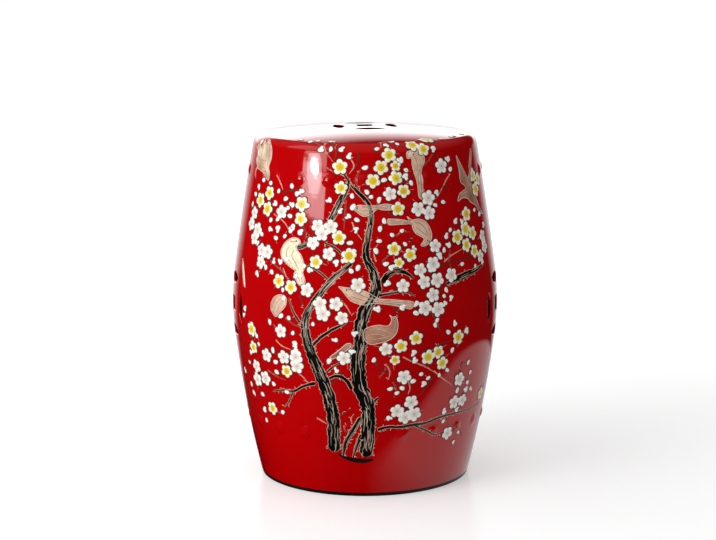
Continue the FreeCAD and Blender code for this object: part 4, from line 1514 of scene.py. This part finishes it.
# Strokes: steps along them, edge lines, lifts over the glaze and rises towards the middle
PATH_STEP = 2 * MM
TRUNK_STEP = 2.2 * MM
GROUND_STEP = 3 * MM
GROUND_EDGE = 0.3 * MM
GROUND_LIFT = 0.06 * MM
GROUND_RISE = 0.04 * MM
TRUNK_EDGE = 0.66 * MM
BRANCH_EDGE = 0.58 * MM
TRUNK_RISE = 0.10 * MM
TWIG_EDGE = 0.25 * MM
TWIG_LIFT = 0.11 * MM
TWIG_RISE = 0.06 * MM
TWIG_WIDTH = 0.8 * MM
TWIG_TIP = 0.35 * MM
TWIG_COLOURS = ((TWIG_PALE, TWIG), (EDGE, TWIG_PALE), (TWIG, OLIVE))
JAG = 0.3
# Lifts in millimetres: of the first of a kind, and what each further one adds before the count starts again
TRUNK_LIFT = 0.12
TRUNK_COAT = 0.01
BIRD_LIFT = 0.20
BIRD_COAT = 0.02
BUD_LIFT = 0.10
BUD_COAT = 0.004
BUD_COATS = 20
BLOSSOM_LIFT = 0.16
BLOSSOM_COAT = 0.05
BLOSSOM_COATS = 7
# Strokes of the bark
BARK_COLOURS = (BARK_PALE, BARK_PALE, BARK_GREEN, BARK_PINK, BARK_PALE)
BARK_AREA = 22 * MM * MM
BARK_RUN = (5, 11)
BARK_SPREAD = 0.66
BARK_DRIFT = 0.26
BARK_SLENDER = 3.2 * MM
BARK_SPARED = 0.75
BARK_LINE = 0.34 * MM
BARK_LIFT = 0.24 * MM
# Thorns of the trunks and of the twigs, with their reaches in millimetres
THORN_STEPS = 3
THORN_PITCH = 5.5 * MM
THORN_FOOT = 0.88
THORN_REACH = (1.2, 3.4)
THORN_LEAN = (-1.0, 3.4)
THORN_LINE = 0.40 * MM
TWIG_THORNS = 4
TWIG_THORN_ACROSS = (-3.8, 3.8)
TWIG_THORN_UP = (0.4, 4.0)
TWIG_THORN_LINE = 0.34 * MM
TWIG_THORN_LIFT = 0.22 * MM
TWIG_THORN_COLOURS = (TWIG, EDGE, OLIVE)
# Stalks: how many leave a bud or a blossom, with their shortest and longest reach in millimetres
BUD_STALKS = (2, 4.0, 8.0)
BLOSSOM_STALKS = (4, 10.0, 16.0)
STALK_STEPS = 4
STALK_BEND = 0.5
STALK_LINE = 0.36 * MM
STALK_LIFT = 0.16 * MM
STALK_COLOURS = (OUTLINE, TWIG, OLIVE, OUTLINE, TWIG_PALE)
# Smallest and largest blossoms and buds in millimetres, and the smaller bud that some buds have at their side
WHITE_SIZES = (8.4, 10.0)
YELLOW_SIZES = (8.6, 10.0)
SMALL_YELLOW_SIZE = 6.8
BUD_SIZES = (2.4, 3.2)
BUD_LENGTHS = (1.15, 1.55)
SIDE_BUDS = 0.3
SIDE_BUD_REACH = 3.6 * MM
SIDE_BUD_SIZE = 0.72
SIDE_BUD_LENGTH = 1.3
SIDE_BUD_LIFT = 0.06 * MM
# Birds: the lines over their bodies, the waves of their feathers, and their eyes in millimetres
BIRD_RISE = 0.22 * MM
BIRD_RIM = 0.46 * MM
BIRD_RIM_LIFT = 0.16 * MM
BIRD_WAVES = (5.5 * MM, 6.5 * MM)
FEATHER_LINE = 0.30 * MM
FEATHER_LIFT = 0.32 * MM
GLINT_LIFT = 0.28 * MM
GLINT_SHIFT = (0.75 * MM, 0.5 * MM)
EYE_STEPS = 10
EYE_RINGS = ((1.5, BIRD_EDGE, 0.32), (0.95, EYE, 0.40))
EYE_CROWN = 0.05
EYE_EDGE = 0.04
EYE_DEPTH = 0.10
# What each layer of the picture is painted with
LAYERS = {"trunks": "bark_enamel", "twigs": "bark_enamel", "birds": "pale_enamel", "buds": "white_enamel",
          "yellow_blossoms": "yellow_enamel", "white_blossoms": "white_enamel"}
# Each enamel: its roughness, the scale and the depth of its grain, and its tint where it is thin
ENAMELS = {"bark_enamel": (0.30, 420.0, 0.05 * MM, (0.80, 0.78, 0.76, 1)),
           "pale_enamel": (0.36, 520.0, 0.05 * MM, (0.86, 0.80, 0.76, 1)),
           "white_enamel": (0.26, 380.0, 0.04 * MM, (0.94, 0.93, 0.91, 1)),
           "yellow_enamel": (0.26, 380.0, 0.04 * MM, (0.94, 0.91, 0.84, 1))}


def along_pixels(pixels, widths, place, step):
    """The samples of a stroke through pixels, with half widths in millimetres."""
    return smooth_path(spots(pixels, place), [width * MM for width in widths], step)


def beside_line(samples, number, out, on=0.0):
    """The wall place at a distance across a stroke and a distance along it from one of its samples."""
    side_x, side_y = sideways(samples, number)
    return beside(samples[number][:2], side_x * out + side_y * on, side_y * out - side_x * on)


def bark(paint, samples, lift):
    """Pale curved strokes along a trunk, and thorns along both of its edges."""
    total = run_length(samples)[-1]
    area = sum(width for _, _, width in samples) / len(samples) * total
    for _ in range(int(area / BARK_AREA)):
        start = rng.randrange(0, max(1, len(samples) - BARK_RUN[0]))
        count = rng.randrange(*BARK_RUN)
        across = rng.uniform(-BARK_SPREAD, BARK_SPREAD)
        drift = rng.uniform(-BARK_DRIFT, BARK_DRIFT)
        if samples[start][2] < BARK_SLENDER and rng.random() < BARK_SPARED:
            continue
        colour = rng.choice(BARK_COLOURS)
        line = []
        for step, number in enumerate(range(start, min(len(samples), start + count))):
            width = samples[number][2]
            shift = width * (across + drift * math.sin(step / count * math.pi))
            line.append(beside_line(samples, number, shift) + (min(BARK_LINE, 0.04 * width + 0.12 * MM),))
        if len(line) > 2:
            thin_line(paint, line, colour, lift)
    for _ in range(int(total / THORN_PITCH)):
        number = rng.randrange(1, len(samples) - 1)
        side = rng.choice((-1, 1))
        reach = rng.uniform(*THORN_REACH) * MM
        lean = rng.uniform(*THORN_LEAN) * MM
        line = []
        for step in range(THORN_STEPS + 1):
            share = step / THORN_STEPS
            out = side * (samples[number][2] * THORN_FOOT + reach * share)
            line.append(beside_line(samples, number, out, lean * share) + (THORN_LINE,))
        thin_line(paint, line, EDGE, lift)


def tree(paint, place):
    """Trunks and thick branches with their bark."""
    samples = along_pixels(*GROUND_LINE, place, GROUND_STEP)
    stroke(paint, samples, GROUND, GROUND, GROUND_EDGE, GROUND_LIFT, GROUND_RISE)
    strokes = [(run, BRANCH_EDGE) for run in BRANCHES]
    strokes += [(run, TRUNK_EDGE) for run in reversed(TRUNKS)]
    for number, ((pixels, widths), edge_width) in enumerate(strokes):
        samples = along_pixels(pixels, widths, place, TRUNK_STEP)
        lift = (TRUNK_LIFT + TRUNK_COAT * number) * MM
        stroke(paint, samples, EDGE, BARK, edge_width, lift, TRUNK_RISE, jag=JAG)
        bark(paint, samples, lift + BARK_LIFT)


def twigs(paint, place):
    """Thin bare twigs, each with a few thorns."""
    for number, pixels in enumerate(TWIGS):
        widths = [TWIG_WIDTH] * (len(pixels) - 1) + [TWIG_TIP]
        samples = smooth_path(spots(pixels, place), widths, PATH_STEP)
        edge, fill = TWIG_COLOURS[number % len(TWIG_COLOURS)]
        stroke(paint, samples, edge, fill, TWIG_EDGE, TWIG_LIFT, TWIG_RISE, jag=JAG, blunt=False)
        for _ in range(TWIG_THORNS):
            spot = samples[rng.randrange(1, len(samples))][:2]
            x = rng.uniform(*TWIG_THORN_ACROSS) * MM
            y = rng.uniform(*TWIG_THORN_UP) * MM
            shares = [step / THORN_STEPS for step in range(THORN_STEPS + 1)]
            line = [beside(spot, x * share, y * share) + (TWIG_THORN_LINE,) for share in shares]
            thin_line(paint, line, rng.choice(TWIG_THORN_COLOURS), TWIG_THORN_LIFT)


def stalks(paint, spot, count, near, far):
    """Fine dark stalks that leave a flower or a bud in all directions."""
    for _ in range(count):
        heading = rng.uniform(0, TURN)
        bend = rng.uniform(-STALK_BEND, STALK_BEND)
        reach = rng.uniform(near, far) * MM
        line = []
        for step in range(STALK_STEPS + 1):
            share = step / STALK_STEPS
            x, y = turned(reach * share, 0, heading + bend * share)
            line.append(beside(spot, x, y) + (STALK_LINE,))
        thin_line(paint, line, rng.choice(STALK_COLOURS), STALK_LIFT)


def bird(paint, parts, place, lift):
    """A bird: a shaded raised body with a pale outline, feather lines and an eye."""
    ends = spots(parts["outline"], place)
    closed = smooth_path(ends + ends[:1], [BIRD_RIM] * (len(ends) + 1), PATH_STEP)[:-1]
    dark, light = parts["colours"]
    low = min(length for _, length, _ in closed)
    high = max(length for _, length, _ in closed)
    shift = rng.uniform(0, TURN)

    def colour_at(x, y, depth):
        if depth == 0.0:
            return BIRD_DARK
        wave = 0.5 + 0.5 * math.sin(shift + x / BIRD_WAVES[0]) * math.sin(0.7 * shift + y / BIRD_WAVES[1])
        return blend(dark, light, min(1.0, 0.65 * wave + 0.35 * (y - low) / (high - low)))

    filled(paint, closed, colour_at, lift, BIRD_RISE)
    thin_line(paint, closed + closed[:1], BIRD_EDGE, lift + BIRD_RIM_LIFT, taper=False)
    for pixels in parts["lines"]:
        samples = smooth_path(spots(pixels, place), [FEATHER_LINE] * len(pixels), PATH_STEP)
        thin_line(paint, samples, BIRD_DARK, lift + FEATHER_LIFT)
        offset = [beside(sample[:2], *GLINT_SHIFT) + sample[2:] for sample in samples]
        thin_line(paint, offset, BIRD_EDGE, lift + GLINT_LIFT)
    if parts["eye"]:
        spot = place(wall_spot(*parts["eye"]))
        for size, colour, up in EYE_RINGS:
            centre = paint.point(spot, lift + (up + EYE_CROWN) * MM, colour)
            turns = [TURN * step / EYE_STEPS for step in range(EYE_STEPS)]
            rim = [paint.point(beside(spot, *turned(size * MM, 0, turn)), lift + (up - EYE_EDGE) * MM, colour)
                   for turn in turns]
            paint.dab([rim], centre, paint.point(spot, lift + (up - EYE_DEPTH) * MM, colour))


def off_picture(spot):
    """Whether a place lies above the top of the picture on the back."""
    azimuth, length = spot
    return math.cos(azimuth) < 0 and length > BACK_TOP


def buds(layers, place):
    """The buds with their stalks. Some have a smaller one at their side."""
    for number, spot in enumerate(spots(BUDS, place)):
        if off_picture(spot):
            continue
        size = rng.uniform(*BUD_SIZES) * MM
        tilt = rng.uniform(0, TURN)
        lift = BUD_LIFT * MM + BUD_COAT * MM * (number % BUD_COATS)
        stalks(layers["twigs"], spot, *BUD_STALKS)
        bud(layers["buds"], spot, size, tilt, rng.uniform(*BUD_LENGTHS), lift)
        if rng.random() < SIDE_BUDS:
            near = beside(spot, *turned(SIDE_BUD_REACH, 0, tilt))
            bud(layers["buds"], near, size * SIDE_BUD_SIZE, tilt + 1.0, SIDE_BUD_LENGTH, lift + SIDE_BUD_LIFT)


def blossoms(layers, place):
    """The white and the yellow blossoms with their stalks."""
    white = "white_blossoms"
    yellow = "yellow_blossoms"
    flowers = [(white, spot, rng.uniform(*WHITE_SIZES)) for spot in spots(WHITE_BLOSSOMS, place)]
    flowers += [(yellow, spot, rng.uniform(*YELLOW_SIZES)) for spot in spots(YELLOW_BLOSSOMS, place)]
    flowers += [(yellow, spot, SMALL_YELLOW_SIZE) for spot in spots(SMALL_YELLOW, place)]
    for number, (layer, spot, size) in enumerate(flowers):
        if off_picture(spot):
            continue
        stalks(layers["twigs"], spot, *BLOSSOM_STALKS)
        lift = BLOSSOM_LIFT * MM + BLOSSOM_COAT * MM * (number % BLOSSOM_COATS)
        blossom(layers[layer], spot, size * MM, rng.uniform(0, TURN), layer == yellow, lift)


def picture(place):
    """One whole picture: gives its layers of paint by name."""
    layers = {name: Paint() for name in LAYERS}
    tree(layers["trunks"], place)
    twigs(layers["twigs"], place)
    for number, parts in enumerate(BIRDS):
        bird(layers["birds"], parts, place, (BIRD_LIFT + BIRD_COAT * number) * MM)
    buds(layers, place)
    blossoms(layers, place)
    return layers


def paint_pictures():
    """The pictures on the front and on the back."""
    finishes = {name: enamel(name, *values) for name, values in ENAMELS.items()}
    for side, place in (("front", on_front), ("back", round_back)):
        for name, paint in picture(place).items():
            paint.piece("%s_%s" % (side, name), finishes[LAYERS[name]], LAYERS[name])


# Studio: floor, lamps, surroundings and camera

FLOOR_REACH = 14.0
FLOOR_DROP = 0.05 * MM
FLOOR_GLOW = 0.35
FLOOR_FAR_GLOW = 0.74
FLOOR_GREY = (0.80, 0.80, 0.80, 1)
FLOOR_GLOSS = 0.15
BRIGHT_PATCH = (0.22, 0.17, 0.0)
PATCH_BRIGHT = 0.55
BEHIND_BRIGHT = 0.9
AMBIENT = 0.50
WINDOW_AIM = (-0.062, -0.134, 0.410)


def lamp(name, place, target, width, height, radiance, shape="RECTANGLE", in_glaze=True):
    """A flat soft lamp that faces a point; radiance is what a mirror would show."""
    data = bpy.data.lights.new(name, "AREA")
    data.shape = shape
    data.size = width
    data.size_y = height
    area = width * height * (math.pi / 4 if shape == "ELLIPSE" else 1.0)
    data.energy = radiance * math.pi * area
    thing = put_in_scene(name, data)
    thing.location = Vector(place)
    thing.rotation_mode = "QUATERNION"
    thing.rotation_quaternion = (Vector(target) - Vector(place)).to_track_quat("-Z", "Y")
    thing.visible_glossy = in_glaze


def floor_in_glaze(finish, spot, far):
    """How bright the glaze sees the floor: a patch to the right, and all that lies far behind."""
    away = finish.add("ShaderNodeVectorMath", {0: finish.place, 1: BRIGHT_PATCH}, operation="DISTANCE")
    patch = finish.times(finish.range(away.outputs["Value"], 0.40, 0.44, PATCH_BRIGHT, 0.0),
                         finish.range(spot.outputs["X"], 0.0, 0.10, 0.0, 1.0))
    heading = finish.math("DIVIDE", spot.outputs["Y"], far)
    behind = finish.times(finish.range(heading, 0.74, 0.92, 0.01, BEHIND_BRIGHT),
                          finish.range(far, 0.18, 0.40, 0.0, 1.0))
    return finish.larger(patch, behind)


def make_floor():
    """A plain pale floor that keeps the stool's shadow, and that the glaze sees brighter or darker."""
    low = -FLOOR_REACH
    high = FLOOR_REACH
    mesh = bpy.data.meshes.new("floor")
    mesh.from_pydata([(low, low, 0), (high, low, 0), (high, high, 0), (low, high, 0)], [], [(0, 1, 2, 3)])
    finish = Finish("floor")
    finish.tree.nodes.remove(finish.shader)
    spot = finish.add("ShaderNodeSeparateXYZ", {0: finish.place})
    far = finish.add("ShaderNodeVectorMath", {0: finish.place}, operation="LENGTH").outputs["Value"]
    paths = finish.add("ShaderNodeLightPath")
    glow = finish.times(paths.outputs["Is Camera Ray"],
                        finish.range(far, 0.30, 2.0, FLOOR_GLOW, FLOOR_FAR_GLOW))
    diffuse = finish.add("ShaderNodeBsdfDiffuse", {"Color": FLOOR_GREY}).outputs[0]
    gloss = finish.add("ShaderNodeBsdfGlossy", {"Color": (0.9, 0.9, 0.9, 1), "Roughness": 0.24}).outputs[0]
    solid = finish.add("ShaderNodeMixShader", {0: FLOOR_GLOSS, 1: diffuse, 2: gloss}).outputs[0]
    shine = finish.add("ShaderNodeEmission", {"Strength": glow}).outputs[0]
    plain = finish.add("ShaderNodeAddShader", {0: solid, 1: shine}).outputs[0]
    mirrored = finish.add("ShaderNodeEmission", {"Strength": floor_in_glaze(finish, spot, far)}).outputs[0]
    shaders = {0: paths.outputs["Is Glossy Ray"], 1: plain, 2: mirrored}
    whole = finish.add("ShaderNodeMixShader", shaders).outputs[0]
    finish.feed(finish.tree.nodes["Material Output"].inputs["Surface"], whole)
    mesh.materials.append(finish.material)
    floor = put_in_scene("floor", mesh)
    floor.location.z = -FLOOR_DROP


def make_world():
    """White to the camera and an even soft fill to everything else but the glaze.

    To the glaze it is white low down behind the stool, dim above and dark in front.
    """
    world = bpy.data.worlds.new("studio")
    bpy.context.scene.world = world
    world.use_nodes = True
    world.node_tree.nodes.clear()
    sky = Nodes(world.node_tree)
    direction = sky.add("ShaderNodeSeparateXYZ", {0: sky.add("ShaderNodeTexCoord").outputs["Generated"]})
    x, y, z = direction.outputs
    behind = sky.range(y, 0.74, 0.90, 0.0, 1.1)
    brighter = sky.range(z, 0.04, 0.14, 1.0, 2.4)
    edge = sky.range(sky.sum(z, sky.times(x, 0.45)), 0.20, 0.35, 1.0, 0.0)
    wall = sky.times(sky.times(behind, brighter), edge)
    above = sky.range(z, 0.35, 0.80, 0.01, 0.16)
    paths = sky.add("ShaderNodeLightPath")
    through = sky.larger(paths.outputs["Is Camera Ray"], paths.outputs["Is Transmission Ray"])
    glossy = sky.choose(paths.outputs["Is Glossy Ray"], AMBIENT, sky.larger(wall, above))
    inputs = {"Color": (1, 1, 1, 1), "Strength": sky.choose(through, glossy, 1.0)}
    background = sky.add("ShaderNodeBackground", inputs)
    sky.feed(sky.add("ShaderNodeOutputWorld").inputs["Surface"], background.outputs[0])


def make_lamps():
    """The window and its glow in the glaze, and two lamps that only light the stool."""
    lamp("window_lamp", (-1.165, -1.011, 0.935), WINDOW_AIM, 0.70, 0.47, 2.6)
    lamp("window_sill", (-1.213, -1.051, 0.622), WINDOW_AIM, 0.70, 0.145, 4.6)
    lamp("window_halo", (-1.190, -1.032, 0.678), WINDOW_AIM, 0.44, 0.14, 5.0, "ELLIPSE")
    lamp("window_core", (-1.178, -1.022, 0.688), WINDOW_AIM, 0.26, 0.045, 22.0, "ELLIPSE")
    lamp("skylight", (-1.010, -0.300, 1.560), WINDOW_AIM, 1.0, 0.8, 0.9)
    lamp("key_lamp", (-2.0, -1.4, 1.25), (0, 0, 0.25), 1.8, 1.8, 2.5, in_glaze=False)
    lamp("overhead_lamp", (-0.2, -0.1, 2.4), (0, 0, 0.2), 1.8, 1.6, 0.9, in_glaze=False)


def make_camera():
    """The camera that the photograph was taken with."""
    data = bpy.data.cameras.new("photo_camera")
    data.sensor_width = SENSOR_WIDTH
    data.lens = FOCAL_PIXELS * SENSOR_WIDTH / PHOTO_WIDTH
    data.shift_x = (PHOTO_WIDTH / 2 - AXIS_COLUMN) / PHOTO_WIDTH
    data.clip_start = 0.1
    data.clip_end = 60.0
    camera = put_in_scene("photo_camera", data)
    camera.location = CAMERA_PLACE
    camera.rotation_euler = (QUARTER - CAMERA_PITCH, 0, 0)
    bpy.context.scene.camera = camera


red = red_glaze()
# Near-black painted shade for the walls of the piercings and the seat coin's lip
hole_shade = painted_hole_shade()
black = black_glaze()
bare = bare_clay()
make_clay({"outer": red, "lip": red, "dark_lip": hole_shade, "hole": hole_shade, "inner": bare, "cap": bare})
make_foot(black, bare)
make_studs("glazed_upper_studs", "upper_studs", UPPER_ROW, red)
make_studs("glazed_lower_studs", "lower_studs", LOWER_ROW, red)
paint_pictures()
make_floor()
make_world()
make_lamps()
make_camera()
bpy.context.scene.view_settings.view_transform = "Standard"
